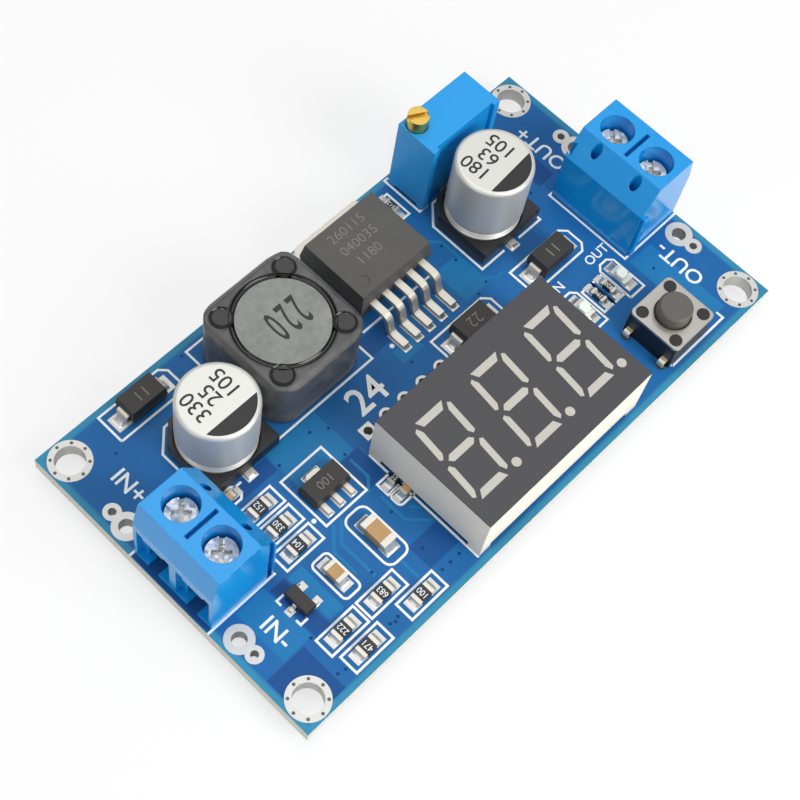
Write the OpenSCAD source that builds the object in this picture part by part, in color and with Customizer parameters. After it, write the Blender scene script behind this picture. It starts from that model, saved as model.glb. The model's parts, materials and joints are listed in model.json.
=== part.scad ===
// Boost converter module with a voltage meter.
// The board carries two screw terminals, an inductor with its switching chip and diodes,
// two can capacitors, a trimmer, and a three-digit display with a button.
// +X runs from input to output, +Y points to the trimmer's side, and +Z is up.
// The origin lies under the middle of the board, at the tips of the solder tails.

/* [Board] */
// Length of the board along X
board_l = 66; // [64:0.5:80]
// Width of the board along Y
board_w = 36; // [35.5:0.5:48]
// Thickness of the board
board_t = 1.6; // [1:0.1:2.4]
// Length of the solder tails under the board
tail_l = 1.2; // [0.9:0.1:2]
// Diameter of the four corner holes
corner_hole_d = 3; // [2.5:0.1:3.4]
// Offset of a corner hole's middle from both edges
corner_inset = 2.3; // [2.2:0.1:4]
// Width of the tinned ring around a corner hole
corner_ring_w = 0.65; // [0.4:0.05:0.7]
// Thickness of the tinned pads
pad_t = 0.06; // [0.04:0.01:0.1]
// Margin of a solder pad around a lead's foot
pad_margin = 0.2; // [0.1:0.05:0.25]
// Height of a solder cone around a tail
joint_h = 0.8; // [0.5:0.05:0.8]
// Clearance around a lead in its board hole
lead_hole_gap = 0.12; // [0.05:0.01:0.2]
// Width of the tinned ring around a lead's hole
lead_ring_w = 0.4; // [0.2:0.05:0.5]

/* [Wire and header holes] */
// Diameter of the larger wire hole
wire_hole_d = 1.5; // [1:0.1:1.8]
// Width of the ring around the larger wire hole
wire_ring_w = 0.7; // [0.4:0.05:0.8]
// Diameter of the smaller wire hole
test_hole_d = 0.8; // [0.6:0.1:1]
// Width of the ring around the smaller wire hole
test_ring_w = 0.5; // [0.3:0.05:0.6]
// Pitch of the two wire holes
wire_pad_pitch = 1.95; // [1.8:0.05:2.6]
// Offset of the wire holes from the board's end
wire_pad_inset = 1.7; // [1.6:0.05:2.4]
// Gap from the input terminal to the ring
input_pad_gap = 0.93; // [0.3:0.01:1.5]
// Gap from the output terminal to the ring
output_pad_gap = 0.7; // [0.3:0.01:1.5]
// Pitch of the empty header holes
header_pitch = 2.54; // [2:0.01:2.54]
// Number of empty header holes
header_count = 5; // [3:1:5]
// Diameter of a header hole
header_hole_d = 0.9; // [0.7:0.1:1.1]
// Width of the ring around a header hole
header_ring_w = 0.3; // [0.2:0.05:0.4]
// Place of the first header hole along X
header_x = -8.24; // [-8.6:0.02:-8]
// Place of the first header hole along Y
header_y = -1.1; // [-1.3:0.05:-0.9]

/* [Screw terminals] */
// Pitch of the two poles
terminal_pitch = 5.08; // [5:0.04:5.4]
// Depth of a terminal from rear wall to wire side
terminal_depth = 7.7; // [7.6:0.1:8.6]
// Height of a terminal above the board
terminal_h = 10; // [9.4:0.1:12]
// Height of the rear wall, where its slope starts
terminal_back_h = 6.95; // [6.8:0.05:8]
// Set-back of the top's rear edge
terminal_back_set = 1.95; // [1.5:0.05:2.2]
// Height at which the wire side starts to lean back
terminal_front_h = 6.9; // [6.3:0.1:8]
// Set-back of the top's front edge
terminal_front_set = 0.75; // [0.3:0.05:1]
// Thickness of the rear wall
terminal_back_wall = 1.1; // [0.9:0.05:1.2]
// Thickness of the outer side walls
terminal_side_wall = 0.51; // [0.4:0.01:0.9]
// Width of the chamber that guides a clamp cage
chamber_w = 4; // [3.6:0.05:4.2]
// Offset of the screws' axes from the rear wall
screw_axis = 4.25; // [4.2:0.05:4.6]
// Diameter of the opening above a screw
driver_bore_d = 3.5; // [3.2:0.05:3.8]
// Diameter of a clamp screw's head
clamp_head_d = 3; // [2.8:0.05:3.1]
// Height of a clamp screw's head
clamp_head_h = 1.15; // [0.9:0.05:1.4]
// Length of the cross recess in a clamp screw
clamp_cross_l = 1.85; // [1.4:0.05:2.2]
// Depth of the cross recess
clamp_cross_depth = 0.7; // [0.4:0.05:0.8]
// Depth of the straight slot in a clamp screw
clamp_slot_depth = 0.35; // [0.2:0.05:0.5]
// Width of the slot and the recess
clamp_slot_w = 0.5; // [0.35:0.05:0.6]
// Diameter of a clamp screw's shank
clamp_shank_d = 2.5; // [2:0.1:2.6]
// Depth of the screw's head below the top
clamp_sink = 2; // [1:0.1:2.2]
// Thickness of the ledge under the screw's head
clamp_ledge_t = 0.5; // [0.4:0.05:0.8]
// Length of a clamp cage along X
cage_l = 4; // [3.6:0.05:4.1]
// Thickness of a cage's threaded plate
cage_plate_t = 0.8; // [0.6:0.05:1]
// Thickness of a cage's floor
cage_floor_t = 0.4; // [0.3:0.05:0.6]
// Thickness of a cage's side walls
cage_wall_t = 0.5; // [0.35:0.05:0.6]
// Thickness of a contact bar
bar_t = 0.5; // [0.4:0.05:0.7]
// Width of a contact bar
bar_w = 2.4; // [1.6:0.1:2.6]
// Width of a contact bar's solder pin
bar_pin_w = 0.9; // [0.6:0.05:1.2]
// Width of the funnel in front of a wire entry
funnel_w = 4.2; // [3.6:0.1:4.4]
// Height of the funnel above the board
funnel_h = 5.7; // [5:0.1:6.2]
// Depth of the funnel
funnel_depth = 0.75; // [0.4:0.05:0.9]
// Width of a wire entry
entry_w = 2.7; // [2:0.1:3.2]
// Height of a wire entry above the board
entry_h = 4.7; // [3.6:0.1:5]
// Width of the slot in a wire entry's floor
sill_slot_w = 1.3; // [0.8:0.1:2]
// Width of the lip over a wire entry
lip_w = 2.6; // [1.5:0.1:3]
// Height of the lip
lip_h = 0.35; // [0.2:0.05:0.5]
// Diameter of the two test openings in the rear slope
probe_d = 1; // [0.8:0.1:1.2]
// Offset of the test openings from the rear edge
probe_edge = 0.1; // [0.05:0.05:0.3]
// Length of the slot between the screws
divider_l = 3.7; // [2.5:0.1:4.2]
// Width of the slot between the screws
divider_w = 0.45; // [0.3:0.05:0.6]
// Depth of the slot between the screws
divider_depth = 1.2; // [0.5:0.1:2]
// Width of the interlocking rib on the side
rib_w = 0.8; // [0.5:0.05:0.9]
// Height of the interlocking rib on the side
rib_proud = 0.35; // [0.2:0.05:0.4]
// Offset of the interlocking rib from the rear wall
rib_u = 0.2; // [0.1:0.05:0.3]
// Gap from the input terminal to the board's end
input_edge_gap = 0.55; // [0:0.05:1]
// Gap from the output terminal to the board's end
output_edge_gap = 0.15; // [0:0.05:1]
// Place of both terminals along Y
terminal_y = -0.15; // [-1:0.05:1]
// Running clearance of screws and turning parts
run_gap = 0.05; // [0.02:0.01:0.08]
// Sliding clearance of cages, plungers and fitted plates
slide_gap = 0.1; // [0.05:0.01:0.15]

/* [Trimmer] */
// Length of the trimmer's body
trimmer_l = 9.53; // [9:0.01:10]
// Depth of the trimmer's body
trimmer_d = 4.83; // [4.4:0.01:5]
// Height of the trimmer's body above the board
trimmer_h = 10.03; // [8:0.01:11]
// Width of the ribs at both ends of its front face
trimmer_rib_w = 0.8; // [0.5:0.05:1.2]
// Depth of the recess between the ribs
trimmer_recess = 0.4; // [0.2:0.05:0.6]
// Height of the feet under the body
trimmer_foot_h = 0.35; // [0.2:0.05:0.6]
// Side of a foot
trimmer_foot_w = 0.9; // [0.6:0.1:1.2]
// Diameter of the brass screw
trimmer_screw_d = 2.19; // [1.8:0.01:2.3]
// Height of the brass screw above the body
trimmer_screw_h = 1.5; // [0.8:0.1:2]
// Depth of the brass screw inside the body
trimmer_screw_in = 3; // [2:0.1:4]
// Offset of the screw's axis from two faces
trimmer_screw_inset = 1.27; // [1.2:0.01:1.4]
// Width of the screw's slot
trimmer_slot_w = 0.55; // [0.4:0.05:0.7]
// Depth of the screw's slot
trimmer_slot_depth = 0.6; // [0.3:0.05:0.8]
// Angle of the slot as it was left
trimmer_slot_turn = -28; // [-90:1:90]
// Pitch of the trimmer's pins
trimmer_pin_pitch = 2.54; // [2.3:0.01:2.54]
// Diameter of a trimmer pin
trimmer_pin_d = 0.5; // [0.4:0.05:0.6]
// Place of the trimmer's left end along X
trimmer_left = 13.6; // [13.4:0.05:14.5]
// Gap between the trimmer and its resistor
feedback_gap = 1.7; // [1.4:0.05:1.9]
// Gap between the trimmer and the board's edge
trimmer_edge_gap = 0.6; // [0.2:0.05:1]

/* [Can capacitors] */
// Diameter of a can
can_d = 8; // [7.6:0.05:8.2]
// Height of the input can above the board
input_can_h = 9; // [7:0.1:11]
// Height of the output can above the board
output_can_h = 10; // [7:0.1:11]
// Radius of the can's top edge
can_edge_r = 0.45; // [0.2:0.05:0.8]
// Height of the rolled bead at the can's foot
can_bead_h = 1.3; // [0.8:0.1:1.6]
// Depth of the neck above the bead
can_neck = 0.3; // [0.15:0.05:0.4]
// Side of the square base
can_base_w = 8.3; // [8.25:0.05:8.6]
// Thickness of the base plate
can_base_t = 0.7; // [0.5:0.05:1]
// Height of the base's corner posts
can_post_h = 1; // [0.5:0.1:1.4]
// Chamfer of the base's two positive corners
can_chamfer = 1.9; // [1.2:0.1:2.2]
// Width of a can's lead
can_lead_w = 0.9; // [0.6:0.05:1.1]
// Thickness of a can's lead
can_lead_t = 0.25; // [0.15:0.05:0.3]
// Reach of a lead beyond the base
can_lead_reach = 0.55; // [0.2:0.05:0.8]
// Pitch of a can's two leads
can_lead_gap = 2; // [1.5:0.1:3]
// Length of a can's solder pad
can_pad_l = 2.2; // [1.8:0.1:3]
// Gap from the input terminal to the can's base
input_can_gap = 1.05; // [0.3:0.05:1.5]
// Place of the input capacitor along Y
input_can_y = 7.85; // [7.5:0.05:8.4]
// Place of the output capacitor along X
output_can_x = 17.5; // [17.3:0.05:18]
// Gap from the trimmer to the output can's base
output_can_gap = 0.37; // [0.3:0.01:0.8]

/* [Inductor] */
// Side of the square shell
inductor_w = 12.1; // [11.5:0.1:12.4]
// Height of the inductor above the board
inductor_h = 7; // [5:0.1:8]
// Radius of the shell's corners
inductor_corner_r = 2.7; // [2:0.1:3.2]
// Chamfer around the shell's top
inductor_edge = 0.55; // [0.2:0.05:0.7]
// Diameter of the bore in the shell
inductor_bore_d = 10.3; // [9.9:0.1:10.6]
// Diameter of the round core's flanges
core_d = 9.2; // [8.6:0.1:9.5]
// Diameter of the core's middle post
core_post_d = 5; // [4:0.1:6]
// Thickness of a core flange
core_flange_t = 1.3; // [0.8:0.1:1.6]
// Depth of the core's top below the shell's top
core_sink = 0.1; // [0.05:0.05:0.3]
// Depth of a glue well in a corner of the shell
glue_well_depth = 1; // [0.5:0.1:1.5]
// Diameter of a glue well
glue_well_d = 2.4; // [1.8:0.1:2.8]
// Outer diameter of the winding
winding_d = 8.6; // [7.5:0.1:9]
// Thickness of a terminal plate under the inductor
inductor_plate_t = 0.24; // [0.15:0.01:0.4]
// Width of a terminal plate
inductor_plate_w = 5; // [3:0.1:6]
// Length of a terminal plate
inductor_plate_l = 2.5; // [2.2:0.1:3]
// Gap from the input can's base to the inductor
inductor_gap = 0.65; // [0.3:0.05:1]
// Place of the inductor along Y
inductor_y = 10.45; // [9.5:0.05:11]

/* [Converter chip] */
// Width of the chip's body
chip_w = 9.9; // [9.6:0.05:10.4]
// Length of the chip's body
chip_l = 8.6; // [8.3:0.05:9]
// Height of the chip's top above the board
chip_h = 4.45; // [4:0.05:4.7]
// Draft of the body per millimetre
chip_draft = 0.15; // [0.08:0.01:0.2]
// Width of the metal tab
chip_tab_w = 9.7; // [8:0.1:9.8]
// Reach of the tab behind the body
chip_tab_reach = 1.4; // [0.8:0.05:1.5]
// Thickness of the tab
chip_tab_t = 1.27; // [1:0.01:1.4]
// Pitch of the chip's leads
chip_pitch = 1.7; // [1.5:0.01:1.75]
// Width of a lead
chip_lead_w = 0.8; // [0.6:0.05:0.95]
// Thickness of a lead
chip_lead_t = 0.5; // [0.35:0.05:0.6]
// Height of the leads where they leave the body
chip_lead_z = 2.5; // [2:0.05:2.8]
// Reach of the leads from the body to their tips
chip_lead_reach = 4.85; // [4.5:0.05:5.1]
// Length of a lead's foot
chip_foot_l = 2.1; // [1.6:0.05:2.4]
// Bend radius of a lead
chip_bend_r = 0.8; // [0.5:0.05:0.9]
// Reach of a lead's solder pad beyond its tip
chip_pad_ahead = 0.5; // [0.2:0.05:0.6]
// Length of the tab's solder pad
chip_tab_pad_l = 6.4; // [5.5:0.1:7]
// Length of a lead inside its body
lead_stub = 0.4; // [0.3:0.05:0.5]
// Diameter of the mark beside the first lead
chip_mark_d = 1.3; // [0.8:0.1:1.6]
// Offset of the mark from the body's widest edges
chip_mark_inset = 1.65; // [1.4:0.05:2]
// Depth of the mark
chip_mark_depth = 0.08; // [0.05:0.01:0.15]
// Shift of the chip from the middle of its room
chip_shift = 0.125; // [0:0.005:0.2]
// Place of the middle of the chip's body along Y
chip_y = 11.9; // [11.6:0.05:12.2]

/* [Diodes and small chips] */
// Length of a moulded diode's body
diode_l = 4.3; // [4.1:0.05:4.5]
// Width of a moulded diode's body
diode_w = 2.6; // [2.3:0.05:2.8]
// Height of a moulded diode's body
diode_h = 1.95; // [1.7:0.05:2.2]
// Height of a diode's body above the board
diode_lift = 0.31; // [0.28:0.01:0.4]
// Width of a diode's leads
diode_lead_w = 1.4; // [1.1:0.05:1.6]
// Thickness of a diode's leads
thin_lead_t = 0.2; // [0.15:0.01:0.22]
// Length of a diode lead's foot
diode_foot_l = 1.5; // [1.2:0.05:1.7]
// Length of a diode's solder pad
diode_pad_l = 2; // [1.8:0.1:2.4]
// Span of a diode's leads
diode_span = 5.1; // [4.9:0.05:5.3]
// Offset of the input diode from the input terminal
input_diode_offset = 2.85; // [2.4:0.05:3.3]
// Place of the input diode along Y
input_diode_y = 15.6; // [15.2:0.05:16]
// Place of the rectifier diode along X
rectifier_diode_x = 7.1; // [6.6:0.05:7.6]
// Place of the rectifier diode along Y
rectifier_diode_y = -0.35; // [-0.8:0.05:0]
// Offset of the output diode from the output terminal
output_diode_offset = 6.35; // [6:0.05:6.7]
// Place of the output diode along Y
output_diode_y = -0.25; // [-0.6:0.05:0.2]
// Length of the supply regulator's body
supply_l = 4.5; // [4.4:0.05:4.8]
// Width of the supply regulator's body
supply_w = 2.5; // [2.3:0.05:2.7]
// Height of the supply regulator's body
supply_h = 1.45; // [1.2:0.05:1.6]
// Pitch of the supply regulator's leads
supply_pitch = 1.5; // [1.3:0.05:1.6]
// Width of a supply regulator's lead
supply_lead_w = 0.5; // [0.35:0.05:0.6]
// Width of the supply regulator's tab
supply_tab_w = 1.7; // [1.3:0.05:1.9]
// Thickness of the supply regulator's leads and tab
supply_lead_t = 0.4; // [0.3:0.05:0.5]
// Reach of the supply regulator's leads
supply_reach = 1.1; // [0.8:0.05:1.3]
// Reach of its tab beyond the body
supply_tab_reach = 0.6; // [0.5:0.05:0.9]
// Corner radius of its tab
supply_tab_r = 0.4; // [0.2:0.05:0.5]
// Offset of the supply regulator from the terminal
supply_offset = 9.35; // [9:0.05:9.8]
// Place of the supply regulator along Y
supply_y = -2.3; // [-2.6:0.05:-2]
// Width of the transistor's body
transistor_w = 1.35; // [1.2:0.05:1.5]
// Length of the transistor's body
transistor_l = 2.9; // [2.7:0.05:3.1]
// Height of the transistor's body
transistor_h = 1; // [0.8:0.05:1.2]
// Width of a transistor lead
transistor_lead_w = 0.42; // [0.3:0.02:0.5]
// Side of a transistor's solder pad
transistor_pad_w = 0.8; // [0.6:0.05:0.9]
// Pitch of the transistor's paired leads
transistor_pitch = 1.9; // [1.6:0.05:2]
// Span of the transistor's leads
transistor_span = 2.5; // [2.3:0.05:2.8]
// Offset of the transistor from the input terminal
transistor_offset = -0.25; // [-0.6:0.05:0.2]
// Place of the transistor along Y
transistor_y = -8.85; // [-9.2:0.05:-8.5]
// Length of the controller's body
controller_l = 6.5; // [6.4:0.05:6.8]
// Width of the controller's body
controller_w = 4.4; // [4.2:0.05:4.6]
// Height of the controller's body
controller_h = 0.9; // [0.8:0.05:1.1]
// Width of a controller lead
controller_lead_w = 0.22; // [0.16:0.01:0.28]
// Width of a controller's solder pad
controller_pad_w = 0.4; // [0.3:0.05:0.45]
// Length of a controller's solder pad
controller_pad_l = 1; // [0.8:0.05:1.2]
// Thickness of the transistor's and controller's leads
fine_lead_t = 0.14; // [0.1:0.01:0.16]
// Length of their lead feet
fine_foot_l = 0.4; // [0.3:0.05:0.5]
// Number of leads on each side of the controller
controller_leads_n = 10; // [6:1:10]
// Pitch of the controller's leads
controller_pitch = 0.65; // [0.5:0.01:0.65]
// Span of the controller's leads
controller_span = 6.4; // [6:0.05:6.8]
// Draft of the small moulded bodies per millimetre
small_draft = 0.14; // [0.05:0.01:0.2]
// Lift of the small gull-wing bodies above their pads
small_lift = 0.1; // [0.05:0.01:0.15]

/* [Chip resistors, capacitors and lamps] */
// Length of the larger chip resistors
resistor_big_l = 2; // [1.9:0.05:2.1]
// Width of the larger chip resistors
resistor_big_w = 1.25; // [1.1:0.05:1.4]
// Height of the larger chip resistors
resistor_big_h = 0.55; // [0.4:0.05:0.65]
// Length of the smaller chip resistors
resistor_small_l = 1.6; // [1.5:0.05:1.7]
// Width of the smaller chip resistors
resistor_small_w = 0.8; // [0.7:0.05:0.9]
// Height of the smaller chip resistors
resistor_small_h = 0.45; // [0.35:0.05:0.6]
// Length of the large ceramic capacitor
ceramic_large_l = 3.2; // [3:0.05:3.4]
// Width of the large ceramic capacitor
ceramic_large_w = 1.6; // [1.4:0.05:1.8]
// Height of the large ceramic capacitor
ceramic_large_h = 1.3; // [0.9:0.05:1.6]
// Length of the medium ceramic capacitor
ceramic_medium_l = 2; // [1.9:0.05:2.1]
// Width of the medium ceramic capacitor
ceramic_medium_w = 1.25; // [1.1:0.05:1.4]
// Height of the medium ceramic capacitor
ceramic_medium_h = 0.9; // [0.7:0.05:1.2]
// Length of the small ceramic capacitors
ceramic_small_l = 1.6; // [1.5:0.05:1.7]
// Width of the small ceramic capacitors
ceramic_small_w = 0.8; // [0.7:0.05:0.9]
// Height of the small ceramic capacitors
ceramic_small_h = 0.7; // [0.5:0.05:0.75]
// Length of a tinned end as a share of a chip's length
chip_end_share = 0.2; // [0.12:0.01:0.3]
// Length of an indicator lamp
lamp_l = 2; // [1.9:0.05:2.1]
// Width of an indicator lamp
lamp_w = 1.25; // [1.1:0.05:1.4]
// Thickness of an indicator lamp's base
lamp_h = 0.35; // [0.25:0.05:0.45]
// Height of an indicator lamp's lens
lamp_lens_h = 0.45; // [0.3:0.05:0.6]
// Length of an indicator lamp's lens
lamp_lens_l = 1.2; // [0.9:0.05:1.5]
// Length of a chip part's solder pad
chip_pad_l = 1.2; // [1:0.05:1.4]
// Extra width of a chip part's solder pad
chip_pad_extra = 0.1; // [0:0.05:0.2]
// Offset of the stacked resistors from the terminal
stack_gap = 3.4; // [3.3:0.05:3.5]
// Height of the first one above the terminal's middle
stack_rise = 0.35; // [0.2:0.05:0.4]
// Pitch of the stacked resistors
stack_pitch = 2.55; // [2.4:0.05:2.7]
// Offset of the front resistors from the front edge
front_row = 2; // [1.6:0.05:2.1]
// Start of the front resistors past the terminal
front_start = 1.15; // [1:0.05:1.3]
// Pitch of the front resistors
front_pitch = 7.15; // [6.8:0.05:7.4]
// Offset of the second row from the front edge
second_row = 4.6; // [4.5:0.05:4.8]
// Start of the second row past the terminal
second_start = 0.65; // [0.5:0.05:0.8]
// Pitch of the second row
second_pitch = 5.1; // [5:0.05:5.3]
// Offset of the large capacitor from the terminal
ceramic_large_gap = 9.45; // [9.3:0.05:9.6]
// Offset of the medium capacitor from the terminal
ceramic_medium_gap = 3.95; // [3.8:0.05:4.1]
// Offset of a small capacitor from the terminal
ceramic_small_gap = 1.85; // [1.8:0.05:2]
// Its height above the terminal's middle
ceramic_small_rise = 3.05; // [2.9:0.05:3.2]
// Height of a small resistor above the display's middle
meter_resistor_rise = 3.6; // [3.5:0.05:3.8]
// Height of a small capacitor above the display's middle
meter_ceramic_rise = 2.05; // [1.9:0.05:2.1]
// Height of the lamps above the switch's middle
lamp_row = 7.1; // [7:0.05:7.2]
// Shift of the lamps from the switch's middle
lamp_shift = -1.35; // [-1.4:0.05:-1.2]
// Pitch of the lamps
lamp_pitch = 5.8; // [5.6:0.05:6]
// Shift of their resistors from the switch's middle
lamp_resistor_shift = -1.2; // [-1.3:0.05:-1.1]
// Pitch of their resistors
lamp_resistor_pitch = 1.55; // [1.4:0.05:1.6]

/* [Display] */
// Width of the display's housing
display_w = 22.6; // [22:0.1:24]
// Depth of the display's housing
display_d = 14.3; // [13.6:0.1:14.6]
// Height of the display's face above the board
display_h = 7.1; // [6:0.1:8]
// Thickness of the housing's walls
display_wall = 1; // [0.7:0.05:1.2]
// Height of the housing's corner feet
display_relief = 0.85; // [0.8:0.05:1]
// Length of a corner foot
display_foot = 1.5; // [1:0.1:2]
// Thickness of the dark face
display_face_t = 0.15; // [0.1:0.01:0.3]
// Height of the substrate's underside above the board
substrate_z = 2; // [1.8:0.05:2.4]
// Thickness of the substrate
substrate_t = 1; // [0.6:0.1:1.2]
// Height of a digit
digit_h = 9.3; // [8:0.1:9.8]
// Width of a digit
digit_w = 4.7; // [4.2:0.1:5]
// Pitch of the digits
digit_pitch = 7.43; // [7.2:0.01:7.6]
// Slant of the digits in degrees
digit_slant = 6.2; // [0:0.1:8]
// Shift of the digits along X against the housing
digit_shift_x = -0.2; // [-0.3:0.05:0.3]
// Shift of the digits along Y against the housing
digit_shift_y = -0.15; // [-0.3:0.05:0.3]
// Width of a level segment
bar_segment_w = 0.8; // [0.6:0.05:0.9]
// Width of an upright segment
post_segment_w = 0.66; // [0.5:0.02:0.8]
// Gap between neighbouring segments
segment_gap = 0.2; // [0.15:0.01:0.3]
// Diameter of a decimal point
point_d = 0.96; // [0.7:0.02:1.1]
// Place of a decimal point along X against its digit
point_x = 2.75; // [2.7:0.05:2.9]
// Place of a decimal point along Y against its digit
point_y = -4.3; // [-4.3:0.05:-4.1]
// Pitch of the display's pins
display_pin_pitch = 2.54; // [2.2:0.01:2.54]
// Pitch of the display's two pin rows
display_row = 10.16; // [9:0.02:10.2]
// Number of pins in a row
display_pins_n = 6; // [4:1:6]
// Side of a display pin
display_pin_w = 0.5; // [0.4:0.05:0.6]
// Place of the display along X
display_x = 1.4; // [1.2:0.05:1.6]
// Place of the display along Y
display_y = -9.9; // [-10.2:0.05:-9.7]

/* [Push button] */
// Side of the switch
switch_w = 6.1; // [5.8:0.05:6.4]
// Height of the steel cover's top above the board
switch_h = 3.6; // [3.3:0.05:4]
// Thickness of the steel cover
switch_cover_t = 0.3; // [0.2:0.05:0.4]
// Radius of the cover's corners
switch_corner_r = 0.6; // [0.3:0.05:0.8]
// Depth of the cover's hem over the base
switch_base_step = 0.1; // [0.05:0.01:0.15]
// Diameter of the button
button_d = 3.5; // [3:0.05:3.7]
// Height of the button above the cover
button_h = 1.45; // [0.8:0.05:2.5]
// Diameter of the opening around the button
button_hole_d = 3.85; // [3.8:0.01:3.95]
// Diameter of the button's flange under the cover
button_flange_d = 4.6; // [4.3:0.05:4.8]
// Thickness of the button's flange
button_flange_t = 0.5; // [0.4:0.05:0.7]
// Chamfer around the button's top
button_edge = 0.2; // [0.1:0.05:0.3]
// Diameter of the cavity in the switch's base
cavity_d = 5; // [4.9:0.05:5.1]
// Diameter of the snap dome
dome_d = 4.4; // [3.8:0.1:4.6]
// Height of the snap dome
dome_h = 0.55; // [0.45:0.05:0.7]
// Thickness of the snap dome
dome_t = 0.08; // [0.05:0.01:0.12]
// Diameter of a staked post
stake_d = 1.25; // [1:0.05:1.3]
// Pitch of the staked posts
stake_pitch = 4.3; // [4.2:0.05:4.4]
// Height of a staked post's head above the cover
stake_proud = 0.12; // [0.05:0.01:0.2]
// Pitch of lead holes across the switch
switch_lead_span = 6.5; // [6.4:0.05:7]
// Pitch of the switch's leads along a side
switch_lead_pitch = 4.5; // [4.2:0.05:4.6]
// Width of a switch lead
switch_lead_w = 0.7; // [0.5:0.05:0.8]
// Thickness of a switch lead
switch_lead_t = 0.3; // [0.2:0.05:0.35]
// Height at which a lead leaves the switch
switch_lead_z = 1; // [0.9:0.05:1.2]
// Offset of the switch's middle from the output end
switch_end = 11.65; // [11:0.05:12]
// Offset of the switch's middle from the front edge
switch_edge = 4.4; // [4.2:0.05:4.6]

/* [Hidden] */
$fn = 64;
cut = 0.2;
bend_steps = 4;

// Heights above the origin
board_bottom = tail_l;
board_top = tail_l + board_t;
// Depth of the tails below the top of the board
tail_depth = board_top;

// Screw terminals: heights above the board, from the screw's head
terminal_w = terminal_pitch + chamber_w + 2 * terminal_side_wall;
clamp_head_top = terminal_h - clamp_sink;
clamp_head_bottom = clamp_head_top - clamp_head_h;
ledge_top = clamp_head_bottom - run_gap;
chamber_top = ledge_top - clamp_ledge_t;
cage_top_raised = chamber_top - run_gap;
cage_floor_z = run_gap;
sill_z = cage_floor_z + cage_floor_t;
clamp_travel = (cage_top_raised - sill_z - bar_t - cage_plate_t - 2 * run_gap) / 2;
cage_top = cage_top_raised - clamp_travel;
bar_bottom = sill_z + clamp_travel + run_gap;
bar_top = bar_bottom + bar_t;
cage_w = chamber_w - 2 * slide_gap;
chamber_front = screw_axis + cage_l / 2 + slide_gap;
probe_u = terminal_back_set - probe_edge - probe_d / 2;
bar_leg_u = terminal_back_wall + run_gap + bar_t / 2;
input_back_x = -(board_l / 2 - input_edge_gap - terminal_depth);
output_back_x = board_l / 2 - output_edge_gap - terminal_depth;
INPUT = -1;
OUTPUT = 1;
PLUS = 1;
MINUS = -1;

trimmer_at = [trimmer_left + trimmer_l / 2, board_w / 2 - trimmer_edge_gap - trimmer_d / 2];
trimmer_screw_at = [-trimmer_l / 2 + trimmer_screw_inset, trimmer_d / 2 - trimmer_screw_inset];

// Places and sizes as vectors
front_y = -board_w / 2;
copper_gap = corner_inset - corner_hole_d / 2 - corner_ring_w;
header_at = [header_x, header_y];
input_can_at = [input_back_x + input_can_gap + can_base_w / 2, input_can_y];
output_can_at = [output_can_x, trimmer_at.y - trimmer_d / 2 - output_can_gap - can_base_w / 2];
inductor_at = [input_can_at.x + can_base_w / 2 + inductor_gap + inductor_w / 2, inductor_y];
feedback_x = trimmer_left - feedback_gap - resistor_small_w / 2;
chip_room = [inductor_at.x + inductor_w / 2, feedback_x - resistor_small_w / 2];
chip_at = [(chip_room[0] + chip_room[1]) / 2 + chip_shift, chip_y];
input_diode_at = [input_back_x + input_diode_offset, input_diode_y];
rectifier_diode_at = [rectifier_diode_x, rectifier_diode_y];
output_diode_at = [output_back_x - output_diode_offset, output_diode_y];
supply_at = [input_back_x + supply_offset, supply_y];
transistor_at = [input_back_x + transistor_offset, transistor_y];
display_at = [display_x, display_y];
switch_at = [board_l / 2 - switch_end, front_y + switch_edge];
digit_shift = [digit_shift_x, digit_shift_y];
point_at = [point_x, point_y];
diode_size = [diode_l, diode_w, diode_h];
supply_size = [supply_l, supply_w, supply_h];
transistor_size = [transistor_w, transistor_l, transistor_h];
controller_size = [controller_l, controller_w, controller_h];
resistor_big = [resistor_big_l, resistor_big_w, resistor_big_h];
resistor_small = [resistor_small_l, resistor_small_w, resistor_small_h];
ceramic_large = [ceramic_large_l, ceramic_large_w, ceramic_large_h];
ceramic_medium = [ceramic_medium_l, ceramic_medium_w, ceramic_medium_h];
ceramic_small = [ceramic_small_l, ceramic_small_w, ceramic_small_h];
lamp_size = [lamp_l, lamp_w, lamp_h];

// Places of the chip parts: [x, y, turn about Z], set off the terminal, the front edge, the display,
// the trimmer or the switch
function row(start, pitch, y, last) = [for (i = [0 : last]) [input_back_x + start + i * pitch, y, 0]];
function lamp_pair(shift, pitch) =
  [for (s = [-1, 1]) [switch_at.x + shift + s * pitch / 2, switch_at.y + lamp_row, 90]];
display_left = display_at.x - display_w / 2;
second_y = front_y + second_row;
stack_y = terminal_y + stack_rise;
stack = [for (i = [0 : 2]) [input_back_x + stack_gap, stack_y - i * stack_pitch, 0]];
resistors_big = concat(stack, row(front_start, front_pitch, front_y + front_row, 1),
  row(second_start, second_pitch, second_y, 1));
resistors_small = concat(lamp_pair(lamp_resistor_shift, lamp_resistor_pitch),
  [[feedback_x, trimmer_at.y, 90], [display_left, display_at.y + meter_resistor_rise, 0]]);
ceramic_y = (second_y + stack[2].y) / 2;
ceramics_large = [[input_back_x + ceramic_large_gap, ceramic_y, 90]];
ceramics_medium = [[input_back_x + ceramic_medium_gap, ceramic_y, 90]];
ceramics_small = [[input_back_x + ceramic_small_gap, terminal_y + ceramic_small_rise, 0],
  [display_left, display_at.y + meter_ceramic_rise, 0]];
lamps = lamp_pair(lamp_shift, lamp_pitch);

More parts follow.
